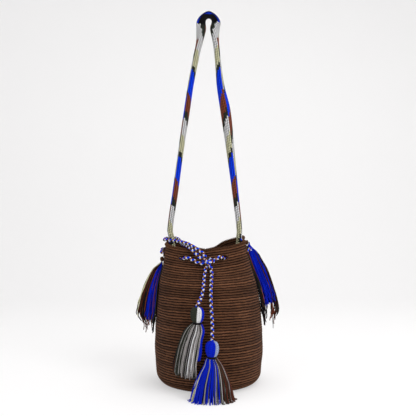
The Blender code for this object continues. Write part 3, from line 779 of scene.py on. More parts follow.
# The band's weave, and how its colours follow each other from the strap's top down each leg
FILES_ACROSS = 12
PICKS_PER_METRE = 270
BAND_START = -0.008
TOP_LENGTH = 0.022
# Painted shadow: within this radius of this centre the inner face of the strap's top bend is black,
# outside it bright blue
TOP_BEND_CENTRE = (-0.0008, 0.0, 0.777)
TOP_BEND_RADIUS = 0.0235
EDGE_STRIP_SHARE = 0.40
EDGE_STRIP_LATER = 0.34
EDGE_STRIP_START = 0.055
BAND_STOPS = (
    (0.0, "olive"),
    (0.09, "white"),
    (0.275, "cream"),
    (0.47, "olive"),
    (0.525, "bright_blue"),
    (0.79, "rust"),
)


def strap_material(name, group, length):
    """The strap's woven band: slanted bands of colour that run down from its top, with painted shade
    between its pips and a painted shadow in black on the inner face of its top bend.
    """
    made, tree, shader = surface(name)
    across, along, place = split_uv(tree)
    got = group_node(
        tree,
        group,
        Across=math_node(tree, "MULTIPLY", across, float(FILES_ACROSS)),
        Along=math_node(tree, "MULTIPLY", along, float(PICKS_PER_METRE)),
        Place=place,
    )
    snapped = math_node(tree, "DIVIDE", got["Pick"], float(PICKS_PER_METRE))
    from_top = math_node(tree, "ABSOLUTE", math_node(tree, "SUBTRACT", snapped, length / 2))
    width_share = math_node(tree, "DIVIDE", got["File"], float(FILES_ACROSS))
    slant = math_node(tree, "MULTIPLY", width_share, -2 * STRAP_WIDTH)
    shifted = math_node(tree, "ADD", math_node(tree, "ADD", from_top, slant), -BAND_START)
    edge = math_node(tree, "LESS_THAN", width_share, EDGE_STRIP_SHARE)
    edge = math_node(tree, "MULTIPLY", edge, math_node(tree, "GREATER_THAN", from_top, EDGE_STRIP_START))
    later = math_node(tree, "MULTIPLY_ADD", edge, -EDGE_STRIP_LATER, 1.0)
    periods = math_node(tree, "DIVIDE", shifted, sizes().band_period)
    phase = math_node(tree, "FRACT", math_node(tree, "ADD", periods, later))
    ramp = tree.nodes.new("ShaderNodeValToRGB")
    ramp.color_ramp.interpolation = "CONSTANT"
    elements = ramp.color_ramp.elements
    while len(elements) < len(BAND_STOPS):
        elements.new(1.0)
    for element, (at, key) in zip(elements, BAND_STOPS):
        element.position = at
        element.color = (*getattr(colours(), key), 1)
    tree.links.new(phase, ramp.inputs[0])
    level = vector_node(tree, "MULTIPLY", place, (1, 0, 1)).outputs[0]
    from_bend = vector_node(tree, "DISTANCE", level, TOP_BEND_CENTRE).outputs["Value"]
    # Painted shadow: the inner face of the top bend is painted black, the outer face bright blue
    outer_face = math_node(tree, "GREATER_THAN", from_bend, TOP_BEND_RADIUS)
    top = mixed(tree, outer_face, (*colours().black, 1), (*colours().bright_blue, 1))
    banded = mixed(tree, math_node(tree, "LESS_THAN", from_top, TOP_LENGTH), ramp.outputs[0], top)
    shade = stretched(tree, got["Shade"], 0.3, 0.7, 0.6, 1.15)
    tone = vector_node(tree, "SCALE", banded)
    # Painted shade: the band's colour darkened between its pips
    pip_shade = stretched(tree, got["Ridge"], 0.2, 0.85, 0.06, 1.12)
    wire(tree, math_node(tree, "MULTIPLY", shade, pip_shade), tone.inputs["Scale"])
    tree.links.new(tone.outputs[0], shader.inputs["Base Color"])
    raise_bump(tree, shader, got["Height"], 0.8, 0.0008)
    return made


YARNS = (
    "blue",
    "bright_blue",
    "pale_blue",
    "white",
    "grey",
    "olive",
    "rust",
    "russet",
    "cream",
    "black",
)
FINISHES = {}


def finishes():
    """Every yarn's material, made once."""
    if not FINISHES:
        ply, stitches = yarn_ply_group(), crochet_group()
        c = colours()
        for key in YARNS:
            FINISHES[key] = yarn_material(f"{key} yarn", tuple(getattr(c, key)), ply)
        # The second brown is painted shade for the grooves
        browns = (tuple(c.brown), tuple(c.brown_groove_shade))
        FINISHES["brown"] = crochet_material("brown crochet", *browns, stitches)
        FINISHES["brown_yarn"] = yarn_material("brown yarn", tuple(c.brown), ply, turns=2.0)
    return FINISHES


# Pieces


# The mesh rings of one row, as shares of it
OUTER_RINGS = (0.0, 0.14, 0.36, 0.64, 0.86)
WALL_COLUMNS = 240
# Heights between which the rows are flatter
SMOOTH_BANDS = ((0.226, 0.246), (0.112, 0.133))
SMOOTH_EDGE = 0.004
SMOOTHING = 0.6
RIM_BAND = (0.272, 0.282)
RIM_SMOOTHING = 0.45
WOBBLE = 0.00022
# Uneven rows: how many rows high, waves round the bag, and turn from row to row
ROW_DRIFTS = ((0.07, 4, 0.45), (0.05, 13, 0.9), (0.05, 29, -1.3))
# The rim's rounded lip: depths as shares of the wall's, and heights over the outline
LIP_DEPTHS = (0.12, 0.5, 0.88)
LIP_HEIGHTS = (0.0012, 0.0019, 0.0012)
LIP_RIPPLE = 0.0003
LIP_WAVES = 60
INSIDE_HALF_ROWS = 44
INSIDE_RIDGE = 0.0004
INSIDE_WAVE = 0.0002


def row_softness(z):
    """How strongly the rows show at a height: less in the two smooth bands and by the rim."""
    soft = np.ones_like(z)
    for low, high in SMOOTH_BANDS:
        inside = eased(low - SMOOTH_EDGE, low, z) * (1 - eased(high, high + SMOOTH_EDGE, z))
        soft = soft * (1 - SMOOTHING * inside)
    return soft * (1 - RIM_SMOOTHING * eased(*RIM_BAND, z))


def crochet_inset(angle, row, z):
    """How far the worked yarn lies below the outline at an angle and a row."""
    k = sizes()
    ridge = np.abs(np.sin(np.pi * row)) ** 1.1
    stitch = angle / 360 * k.stitches + 0.5 * (np.floor(row) % 2) + 0.4 * (row % 1)
    bump = 0.5 + 0.5 * np.cos(2 * np.pi * stitch)
    turn = np.radians(angle)
    wobble = np.sin(5 * turn + row * 0.7) + np.sin(9 * turn - row * 0.31 + 1.7)
    wobble = wobble + np.sin(2 * turn + row * 0.17)
    soft = row_softness(z)
    worked = k.row_depth * (1 - ridge) + k.stitch_depth * (1 - bump) * ridge
    return worked * soft + WOBBLE * (wobble + 1.2)


def build_wall():
    """The crocheted wall with its lip, its inside and its eyelets, as one closed mesh."""
    rows = round(OUTLINE_LENGTH / sizes().row_pitch)
    angle = 360 * np.arange(WALL_COLUMNS) / WALL_COLUMNS
    outer = np.append((np.arange(rows)[:, None] + np.array(OUTER_RINGS)).ravel(), rows)
    fade = np.sin(np.pi * np.clip(outer / rows, 0, 1)) ** 0.5
    turn = np.radians(angle)
    drift = 0
    for high, waves, by_row in ROW_DRIFTS:
        drift = drift + high * np.sin(waves * turn[None] + outer[:, None] * by_row)
    place = outer[:, None] + drift * fade[:, None]
    s = place / rows * OUTLINE_LENGTH
    inset = crochet_inset(angle[None], outer[:, None], outline_at(s)[2])
    rings = [bag_point(angle[None], s, inset)]
    row_marks = [outer]
    lip = bag_point(angle[None], OUTLINE_LENGTH, WALL * np.array(LIP_DEPTHS)[:, None])
    lip[..., 2] += np.array(LIP_HEIGHTS)[:, None] + LIP_RIPPLE * np.sin(turn * LIP_WAVES)
    rings.append(lip)
    row_marks.append(np.full(3, rows + 0.5))
    near = rows - np.arange(INSIDE_HALF_ROWS) * 0.5
    far = np.arange(near[-1] - 1, -0.5, -1)
    inner = np.concatenate([near, far, [0]])
    ridge = np.where(inner > far[0], 0.5 + 0.5 * np.cos(2 * np.pi * inner), 0.5)
    wave = np.sin(7 * turn[None] + inner[:, None])
    inner_inset = WALL - INSIDE_RIDGE * ridge[:, None] - INSIDE_WAVE * wave
    rings.append(bag_point(angle[None], inner[:, None] / rows * OUTLINE_LENGTH, inner_inset))
    row_marks.append(inner)
    points = np.concatenate(rings)
    marks = np.concatenate(row_marks)
    faces, place_i, place_j = grid_faces(len(marks), WALL_COLUMNS, wrap_rows=True)
    v = np.append(marks, marks[0])[place_i]
    uv = np.stack([place_j / WALL_COLUMNS * sizes().stitches, v], -1)
    wall = mesh_piece("crocheted_wall", points, faces, uv, [finishes()["brown"]])
    cut_eyelets(wall)
    return wall


EYELET_SIDES = 16
CUTTER_REACH = 1.6 * WALL
LEAST_WALL_FACES = 1000


def cut_eyelets(wall):
    """Cuts the eight oval eyelets through the wall."""
    here, out, along, up = wall_frame(np.array(EYELET_ANGLES), OUTLINE_LENGTH - EYELET_BELOW_RIM)
    centres = here - out * WALL / 2
    sides = EYELET_SIDES
    turn = 2 * np.pi * np.arange(sides) / sides
    wide, tall = EYELET_OPENING[0] * np.cos(turn)[:, None], EYELET_OPENING[1] * np.sin(turn)[:, None]
    points, faces = [], []
    for c, o, a, u in zip(centres, out, along, up):
        start = len(points) * sides
        for reach in (-CUTTER_REACH, CUTTER_REACH):
            points.append(c + o * reach + wide * a + tall * u)
        for k in range(sides):
            j = (k + 1) % sides
            faces.append([start + k, start + j, start + sides + j, start + sides + k])
        faces.append(list(range(start + sides - 1, start - 1, -1)))
        faces.append(list(range(start + sides, start + 2 * sides)))
    data = bpy.data.meshes.new("eyelet_cutter")
    data.from_pydata(np.concatenate(points).tolist(), [], faces)
    cutter = bpy.data.objects.new("eyelet_cutter", data)
    bpy.context.scene.collection.objects.link(cutter)
    cut = wall.modifiers.new("eyelets", "BOOLEAN")
    cut.operation = "DIFFERENCE"
    cut.solver = "MANIFOLD"
    cut.object = cutter
    bpy.context.view_layer.update()
    done = bpy.data.meshes.new_from_object(wall.evaluated_get(bpy.context.evaluated_depsgraph_get()))
    wall.modifiers.clear()
    if len(done.polygons) < LEAST_WALL_FACES:
        raise RuntimeError("the eyelets could not be cut")
    wall.data = done
    done.shade_smooth()
    bpy.data.objects.remove(cutter)


BASE_COLUMNS = 120
BASE_RINGS = 84
BASE_MIDDLE = 0.0015
BASE_STITCH_WIDTH = 0.006
BASE_STITCH_MARK = 0.0062
BASE_STITCH_DEPTH = 0.0003
BASE_INSIDE_RADII = (BASE_MIDDLE, 0.03, 0.06, BASE_RADIUS)


def build_base():
    """The round base, worked in a spiral."""
    columns = BASE_COLUMNS
    pitch = sizes().row_pitch
    radii = np.linspace(BASE_RADIUS, BASE_MIDDLE, BASE_RINGS)
    angle = 360 * np.arange(columns) / columns
    row = radii[:, None] / pitch + angle[None] / 360
    ridge = np.abs(np.sin(np.pi * row)) ** 0.75
    turn = np.radians(angle)[None]
    stitch = 0.5 + 0.5 * np.cos(2 * np.pi * turn * radii[:, None] / BASE_STITCH_WIDTH)
    up = sizes().row_depth * (1 - ridge) + BASE_STITCH_DEPTH * (1 - stitch) * ridge
    under = np.stack([radii[:, None] * np.sin(turn), -radii[:, None] * np.cos(turn), up], -1)
    inner_radii = np.array(BASE_INSIDE_RADII)
    flat = np.full((len(inner_radii), columns), WALL)
    inner = inner_radii[:, None]
    over = np.stack([inner * np.sin(turn), -inner * np.cos(turn), flat], -1)
    points = np.concatenate([under, over])
    faces, place_i, place_j = grid_faces(len(points), columns, wrap_rows=True)
    keep = place_i[:, 0] != len(radii) - 1
    faces, place_i, place_j = faces[keep], place_i[keep], place_j[keep]
    marks = np.concatenate([radii, inner_radii, radii[:1]]) / pitch
    round_it = place_j / columns
    reach = marks[place_i] * pitch
    uv = np.stack([round_it * reach * 2 * np.pi / BASE_STITCH_MARK, marks[place_i] + round_it], -1)
    first = (len(radii) - 1) * columns
    middle = first + columns
    caps = [list(range(middle - 1, first - 1, -1)), list(range(middle, middle + columns))]
    return mesh_piece("crocheted_base", points, faces, uv, [finishes()["brown"]], caps=caps)


def closed_strands(path, side, ahead, radius, offset, turns, strands, sides=8):
    """Strands twisted round a closed path: points, faces and UVs."""
    count = len(path)
    other = np.cross(ahead, side)
    steps = np.linalg.norm(np.roll(path, -1, 0) - path, axis=1)
    length = np.concatenate([[0], np.cumsum(steps)])
    all_points, all_faces, all_uv = [], [], []
    for k in range(strands):
        spin = 2 * np.pi * (turns * length[:-1] / length[-1] + k / strands)
        centre = path + offset * (np.cos(spin)[:, None] * side + np.sin(spin)[:, None] * other)
        turn = 2 * np.pi * np.arange(sides) / sides
        ring = np.cos(turn)[:, None] * side[:, None] + np.sin(turn)[:, None] * other[:, None]
        faces, place_i, place_j = grid_faces(count, sides, wrap_rows=True)
        all_points.append((centre[:, None] + ring * radius).reshape(-1, 3))
        all_faces.append(faces + k * count * sides)
        all_uv.append(np.stack([place_j / sides, length[place_i] * 100], -1))
    return np.concatenate(all_points), np.concatenate(all_faces), np.concatenate(all_uv)


RIM_STEPS = 720
RIM_LIFT = 0.0012
RIM_YARN_RADIUS = 0.0017
RIM_YARN_OFFSET = 0.0019
RIM_TWISTS = 84


def build_rim():
    """The rim's edging: a chain of slanted stitches along the lip."""
    angle = 360 * np.arange(RIM_STEPS) / RIM_STEPS
    path = bag_point(angle, OUTLINE_LENGTH, WALL / 2)
    path[:, 2] += RIM_LIFT
    ahead = normalised(np.roll(path, -1, 0) - np.roll(path, 1, 0))
    side = normalised(np.cross(ahead, (0, 0, 1.0)))
    points, faces, uv = closed_strands(
        path, side, ahead, RIM_YARN_RADIUS, RIM_YARN_OFFSET, RIM_TWISTS, 2
    )
    return mesh_piece("rim_edging", points, faces, uv, [finishes()["brown_yarn"]])


BORDER_STEPS = 60
BORDER_OUTSIDE = 0.0004
BORDER_HEIGHTS = (-0.0006, -WALL + 0.0002)
BORDER_YARN_RADIUS = 0.0009
BORDER_YARN_OFFSET = 0.0006
BORDER_TWISTS = 9


def build_eyelet_borders():
    """A worked border round each eyelet, outside and inside."""
    turn = 2 * np.pi * np.arange(BORDER_STEPS) / BORDER_STEPS
    wide = (EYELET_OPENING[0] + BORDER_OUTSIDE) * np.cos(turn)[:, None]
    tall = (EYELET_OPENING[1] + BORDER_OUTSIDE) * np.sin(turn)[:, None]
    every = []
    shift = 0
    for angle in EYELET_ANGLES:
        here, out, along, up = wall_frame(angle, OUTLINE_LENGTH - EYELET_BELOW_RIM)
        for height in BORDER_HEIGHTS:
            path = here + out * height + wide * along + tall * up
            ahead = normalised(np.roll(path, -1, 0) - np.roll(path, 1, 0))
            side = np.broadcast_to(out, path.shape)
            points, faces, uv = closed_strands(
                path, side, ahead, BORDER_YARN_RADIUS, BORDER_YARN_OFFSET, BORDER_TWISTS, 2, 6
            )
            every.append((points, faces + shift, uv))
            shift += len(points)
    points, faces, uv = (np.concatenate([e[k] for e in every]) for k in range(3))
    return mesh_piece("eyelet_borders", points, faces, uv, [finishes()["brown_yarn"]])


BRAID_STEP = 0.0009
# The braid's strands: which way each goes round, where it starts and its colour
BRAID_STRANDS = (
    (1, 0.0, "white"),
    (1, math.pi, "olive"),
    (-1, 0.0, "bright_blue"),
    (-1, math.pi, "rust"),
)
# A strand's distance from the cord's middle and its radius, with what each adds where it goes over
STRAND_REACH = (0.00165, 0.0006)
STRAND_RADIUS = (0.00152, 0.0002)


def braid(name, route, phase):
    """A round braid of four strands along a route; returns the piece and its centreline."""
    path = even_route(route, BRAID_STEP)
    side, ahead = carried(path, (1, 0.05, 0.1))
    other = np.cross(ahead, side)
    length = np.concatenate([[0], np.cumsum(np.linalg.norm(np.diff(path, axis=0), axis=1))])
    spin = 2 * np.pi * length / sizes().braid_pitch
    paths, radii, keys = [], [], []
    for way, start, key in BRAID_STRANDS:
        turn = way * spin + start + phase
        over = way * np.cos(2 * spin)
        reach = STRAND_REACH[0] + STRAND_REACH[1] * over
        radii.append(STRAND_RADIUS[0] + STRAND_RADIUS[1] * over)
        outwards = np.cos(turn)[:, None] * side + np.sin(turn)[:, None] * other
        paths.append(path + reach[:, None] * outwards)
        keys.append(key)
    strands = len(BRAID_STRANDS)
    sideways = np.broadcast_to(side, (strands, *side.shape))
    points, faces, uv = tubes(np.array(paths), np.array(radii), sideways, sides=8)
    index = np.repeat(np.arange(strands), len(faces) // strands)
    made = mesh_piece(name, points, faces, uv, [finishes()[key] for key in keys], index)
    return made, path


LONG_STRETCH = 0.06


def loop_route():
    """The drawstring's points from the knot through the eyelets and back to the knot."""
    below = EYELET_BELOW_RIM
    outer, inner = CORD_RADIUS + CORD_STANDOFF, -(WALL + CORD_RADIUS + CORD_STANDOFF)
    points = [np.array(p) for p in LOOP_START]
    outside = True
    for i, turn in enumerate(EYELET_ANGLES):
        speed = np.linalg.norm(off_wall(turn + 1, below, 0) - off_wall(turn - 1, below, 0)) / 2
        step = EYELET_HALF_LENGTH / speed
        first, last = (outer, inner) if outside else (inner, outer)
        for at, height in ((turn - step, first), (turn, -WALL / 2), (turn + step, last)):
            points.append(off_wall(at, below, height))
        outside = not outside
        if i + 1 < len(EYELET_ANGLES):
            gap = EYELET_ANGLES[i + 1] - turn
            for share in (0.5,) if gap * speed < LONG_STRETCH else (0.35, 0.65):
                points.append(off_wall(turn + gap * share, below, last))
    return points + [np.array(p) for p in LOOP_END]


KNOT_STEPS = 40
KNOT_SIZE = (0.0030, 0.0032, 0.00252)
KNOT_LOOP_SHARE = 1.7


def knot_route():
    """The tight overhand knot's line, round the knot's place."""
    t = np.linspace(0.0, 2 * np.pi, KNOT_STEPS)[:-1]
    x = np.sin(t) + KNOT_LOOP_SHARE * np.sin(2 * t)
    y = -np.sin(3 * t)
    z = np.cos(t) - KNOT_LOOP_SHARE * np.cos(2 * t)
    return np.column_stack([x, y, z]) * KNOT_SIZE + KNOT_PLACE


# The add-on's operators


class BAG_OT_body(bpy.types.Operator):
    """Makes the crocheted bag itself"""

    bl_idname = "bag.body"
    bl_label = "Crocheted bag"

    def execute(self, context):
        dress(build_wall(), "crochet_brown", "bag_body")
        dress(build_base(), "crochet_brown")
        dress(build_rim(), "crochet_brown")
        dress(build_eyelet_borders(), "crochet_brown")
        return {"FINISHED"}


FOLD_STEPS = 240


def strap_section(fold, points_across):
    """The folded strap's middle line across its width, out and in, and its outward directions."""
    steps = FOLD_STEPS
    half = STRAP_WIDTH / 2
    w = half * (np.arange(steps) + 0.5) / steps
    turned = fold / 2 * (1 - np.exp(-w / FOLD_SHARPNESS)) / (1 - np.exp(-half / FOLD_SHARPNESS))
    x = np.concatenate([[0], np.cumsum(np.cos(turned)) * half / steps])
    y = np.concatenate([[0], np.cumsum(np.sin(turned)) * half / steps])
    at = np.linspace(-half, half, points_across)
    own = np.linspace(0, half, steps + 1)
    px = np.sign(at) * np.interp(np.abs(at), own, x)
    py = np.interp(np.abs(at), own, y)
    deep = y[-1] / 2 * min(1.0, fold / CENTRED_FOLD) ** 2
    line = np.column_stack([px, py - deep])
    ahead = normalised(np.gradient(line, axis=0))
    return line, np.column_stack([ahead[:, 1], -ahead[:, 0]])


def strap_stations():
    """The strap's stations from foot to foot: places, folds and turns."""
    feet = []
    for side in (-1, 1):
        sunk = WALL + GAP + STRAP_THICKNESS / 2
        low = bag_point(90 * side, OUTLINE_LENGTH - STRAP_FOOT_BELOW_RIM, sunk)
        high = bag_point(90 * side, OUTLINE_LENGTH, sunk)
        inner = high - (side * STRAP_FOOT_INWARDS, 0, 0)
        places = (low, (low + high) / 2, inner, inner + (high - low) * STRAP_FOOT_RISE)
        feet.append([(place, *fold) for place, fold in zip(places, STRAP_FOOT_FOLDS)])
    middle = [(np.array((x, 0.0, z)), fold, turn) for x, z, fold, turn in STRAP_ROUTE]
    return feet[0] + middle + feet[1][::-1]


STRAP_ACROSS = 65
STRAP_STEP = 0.0022
FILE_RELIEF = 0.00028
FACE_INSET = 0.00015
LEAST_FOLD = 0.02
# The strap's rounded edge: shares of its half thickness out of its face and past its side
EDGE_ROUND = ((0.7, 0.63), (0.0, 0.9), (-0.7, 0.63))


def build_strap():
    """The woven band with its files of pips, folded lengthwise on its legs."""
    stations = strap_stations()
    places = np.array([p for p, _, _ in stations])
    knots = np.concatenate([[0], np.cumsum(np.linalg.norm(np.diff(places, axis=0), axis=1))])
    values = np.column_stack([places, [f for _, f, _ in stations], [t for _, _, t in stations]])
    at = np.linspace(0, knots[-1], round(knots[-1] / STRAP_STEP))
    read = smooth_read(knots, values, at)
    ahead = normalised(smooth_read(knots, places, at + 0.004) - smooth_read(knots, places, at - 0.004))
    across = np.broadcast_to((0.0, 1.0, 0.0), ahead.shape)
    face = normalised(np.cross(ahead, across))
    turn = np.radians(read[:, 4])[:, None]
    wide = across * np.cos(turn) + face * np.sin(turn)
    deep = face * np.cos(turn) - across * np.sin(turn)
    u = np.linspace(0, 1, STRAP_ACROSS)
    file_relief = FILE_RELIEF * np.abs(np.sin(np.pi * FILES_ACROSS * u)) ** 0.7
    half = STRAP_THICKNESS / 2 - FACE_INSET
    rings = []
    for p, w, d, fold in zip(read[:, :3], wide, deep, np.maximum(read[:, 3], LEAST_FOLD)):
        line, out = strap_section(fold, STRAP_ACROSS)
        front = line + out * (half + file_relief)[:, None]
        back = line - out * (half + file_relief)[:, None]
        past_right, past_left = np.array([-out[-1][1], out[-1][0]]), np.array([out[0][1], -out[0][0]])
        round_right = [line[-1] + (out[-1] * c + past_right * s) * half for c, s in EDGE_ROUND]
        round_left = [line[0] - (out[0] * c - past_left * s) * half for c, s in EDGE_ROUND]
        section = np.vstack([front, round_right, back[::-1], round_left])
        rings.append(p + section[:, :1] * w + section[:, 1:] * d)
    points = np.array(rings)
    columns = points.shape[1]
    marks = np.concatenate([u, [1, 1, 1], 2 - u[::-1], [2, 2, 2], [2]])
    faces, place_i, place_j = grid_faces(len(points), columns)
    uv = np.stack([marks[place_j], at[place_i]], -1)
    last = (len(points) - 1) * columns
    caps = [list(range(columns - 1, -1, -1)), list(range(last, last + columns))]
    finish = strap_material("woven strap", weave_group(), float(knots[-1]))
    return mesh_piece("woven_strap", points, faces, uv, [finish], caps=caps)


class BAG_OT_strap(bpy.types.Operator):
    """Makes the woven shoulder strap"""

    bl_idname = "bag.strap"
    bl_label = "Woven strap"

    def execute(self, context):
        dress(build_strap(), "strap_weave", "strap")
        return {"FINISHED"}


# Tassels and fringes


def hung_centre(x, z, deep):
    """The centre of a level section that hangs against the wall, across it and out of it."""
    reach = wall_radius(z) + GAP + deep
    turn = np.arcsin(x / reach)
    out = np.stack([np.sin(turn), -np.cos(turn), np.zeros_like(turn)], -1)
    across = np.stack([-out[..., 1], out[..., 0], out[..., 2]], -1)
    return out * reach[..., None] + np.array((0, 0, 1.0)) * z[..., None], across, out


def colour_of(places, sectors, rng, strays):
    """Each yarn's colour: its sector's, or now and then a stray one."""
    keys = []
    for place in places:
        key = next(key for end, key in sectors if place < end)
        chosen = strays.get(key)
        if chosen is not None and rng.random() < chosen[0]:
            key = chosen[1][rng.integers(len(chosen[1]))]
        keys.append(key)
    return np.array(keys)


def tassel_head(name, place, sectors, rng):
    """The tied head: yarns drawn down over a ball, one piece for each colour."""
    x, top = (np.float64(v) for v in place)
    centre, across, out = hung_centre(x, top - HEAD_HEIGHT / 2, np.float64(HEAD_RADIUS))
    count = HEAD_YARNS
    angle = 2 * np.pi * (np.arange(count) + rng.uniform(-0.2, 0.2, count)) / count
    at = np.linspace(0, 1, 20)
    share = smooth_read(HEAD_DROPS, HEAD_SHARES, at)
    z = top + HEAD_TOP_RISE - (HEAD_HEIGHT + HEAD_EXTRA_LENGTH) * at
    radius = HEAD_YARN_RADIUS
    swirl = angle[:, None] + HEAD_SWIRL * (at[None] - 0.5)
    spread = (HEAD_RADIUS * share - radius)[None, :, None]
    round_it = np.cos(swirl)[..., None] * across + np.sin(swirl)[..., None] * out
    paths = np.array([centre[0], centre[1], 0.0]) + spread * round_it
    paths[..., 2] = z[None] + rng.uniform(-0.0002, 0.0002, (count, 1))
    sideways = -np.sin(swirl)[..., None] * across + np.cos(swirl)[..., None] * out
    keys = colour_of(np.degrees(angle) % 360, sectors, rng, {})
    pieces = []
    for key in sorted(set(keys)):
        mine = keys == key
        points, faces, uv = tubes(paths[mine], radius, sideways[mine], sides=6)
        pieces.append(mesh_piece(f"{name}_head_{key}", points, faces, uv, [finishes()[key]]))
    return pieces


def tassel_skirt(name, stations, sectors, strays, count, rng, floor=None):
    """The skirt: plied yarns that hang from the neck, one piece for each colour.

    With a floor given, the yarns reach it and spread over it.
    """
    table = np.array(stations)
    knots = -table[:, 1]
    angle = 2 * np.pi * (np.arange(count) * GOLDEN_TURN % 1)
    outside, within = rng.uniform(0.86, 1.0, count), rng.uniform(0.3, 0.85, count)
    ring = np.where(np.arange(count) % 3 < 2, outside, within)
    t = np.linspace(0, 1, SKIRT_STEPS)[None]
    keys = colour_of(np.degrees(angle) % 360, sectors, rng, strays)
    end = -knots[-1] + np.clip(rng.normal(0.001, 0.003, count), -0.0025, 0.012)
    end = end + SKIRT_SLANT * np.maximum(-np.cos(angle), 0) + np.where(keys == "blue", BLUE_SHORTER, 0)
    if floor is not None:
        end = np.full(count, -knots[-1]) - rng.uniform(0.0, 0.006, count)
    z = t * (end - table[0, 1])[:, None] + table[0, 1]
    held = smooth_read(knots, table[:, [0, 2, 3]], -np.maximum(z, -knots[-1]))
    below = np.minimum(z + knots[-1], 0)
    centre, across, out = hung_centre(held[..., 0], np.maximum(z, -knots[-1]), held[..., 2])
    phase = rng.uniform(0.8, 2.2, (count, 1)) * t + rng.random((count, 1))
    wave = SKIRT_WAVE * np.sin(2 * np.pi * phase) * t
    drift = rng.normal(0, 0.05, (count, 1)) * t
    turned = angle[:, None] + drift
    reach = ring[:, None] * (1 - 0.06 * (1 - t)) + rng.normal(0, 0.03, (count, 1)) * t
    radius = sizes().yarn_radius * rng.uniform(0.85, 1.15, count)
    wide = (held[..., 1] - radius[:, None]) * reach + wave
    deep = (held[..., 2] - radius[:, None]) * np.minimum(reach, 1.0) - np.abs(wave) * 0.5
    cosine, sine = np.cos(turned)[..., None], np.sin(turned)[..., None]
    paths = centre + wide[..., None] * cosine * across + deep[..., None] * sine * out
    paths[..., 2] += below
    if floor is not None:
        push = np.maximum(floor + radius[:, None] - paths[..., 2], 0)[..., None]
        paths += push * (cosine * across * 0.9 + np.abs(sine) * out * 0.6)
        paths[..., 2] = np.maximum(paths[..., 2], floor + radius[:, None])
    sideways = cosine * out - sine * across
    taper = np.where(t == 1, 0.75, 1.0) * radius[:, None]
    pieces = []
    for key in sorted(set(keys)):
        mine = keys == key
        points, faces, uv = tubes(paths[mine], taper[mine], sideways[mine], sides=6)
        pieces.append(mesh_piece(f"{name}_skirt_{key}", points, faces, uv, [finishes()[key]]))
    return pieces


def tassel_tie(name, place):
    """The dark thread wound round the neck."""
    x, top = (np.float64(v) for v in place)
    centre, across, out = hung_centre(x, top - HEAD_HEIGHT / 2, np.float64(HEAD_RADIUS))
    t = np.linspace(0, 1, TIE_STEPS)
    spin = 2 * np.pi * TIE_TURNS * t
    radius = HEAD_RADIUS * HEAD_SHARES[-1] + TIE_OUTSIDE
    path = centre + radius * (np.cos(spin)[:, None] * across + np.sin(spin)[:, None] * out)
    path[:, 2] = top - HEAD_HEIGHT - TIE_DROP[0] - TIE_DROP[1] * t
    points, faces, uv = tubes(path[None], TIE_YARN_RADIUS, np.array((0, 0, 1.0)), sides=6)
    return mesh_piece(f"{name}_tie", points, faces, uv, [finishes()["black"]])


# The slot of a piece, by the colour that its name ends with; the first that fits holds
SLOTS = {
    "blue": "yarn_blue",
    "white": "yarn_grey",
    "pale_blue": "yarn_grey",
    "grey": "yarn_grey",
    "olive": "yarn_olive",
    "rust": "yarn_rust",
    "russet": "yarn_rust",
    "cream": "yarn_cream",
    "black": "yarn_dark",
}
# Sectors round a tassel, each up to an angle; 270 is towards the wall, 90 the front, 180 the left
LEFT_HEAD = ((40, "blue"), (84, "white"), (215, "olive"), (290, "grey"), (361, "blue"))
RIGHT_HEAD = ((62, "pale_blue"), (230, "blue"), (290, "rust"), (361, "pale_blue"))
LEFT_SKIRT_SECTORS = (
    (22, "blue"),
    (108, "grey"),
    (166, "olive"),
    (235, "russet"),
    (300, "grey"),
    (361, "blue"),
)
RIGHT_SKIRT_SECTORS = (
    (22, "russet"),
    (29, "grey"),
    (50, "russet"),
    (66, "olive"),
    (84, "grey"),
    (112, "blue"),
    (118, "grey"),
    (156, "blue"),
    (174, "cream"),
    (290, "blue"),
    (361, "russet"),
)
# Stray yarns: the share of a colour's yarns that are another's, and those colours
LEFT_STRAYS = {
    "olive": (0.42, ("grey", "grey", "black")),
    "grey": (0.42, ("olive", "black", "black", "white")),
    "russet": (0.5, ("olive", "black", "grey")),
}
RIGHT_STRAYS = {
    "blue": (0.05, ("olive", "grey", "cream")),
    "olive": (0.45, ("grey", "russet")),
    "russet": (0.30, ("grey", "grey", "olive")),
    "grey": (0.55, ("blue", "blue", "olive", "black")),
    "cream": (0.5, ("blue",)),
}


def dress_all(pieces, nodes):
    """Every piece rides on the bag; the first stands for the solids."""
    for k, piece in enumerate(pieces):
        slot = next((slot for key, slot in SLOTS.items() if piece.name.endswith(key)), "yarn_dark")
        dress(piece, slot, *(nodes if k == 0 else ()))
    return pieces


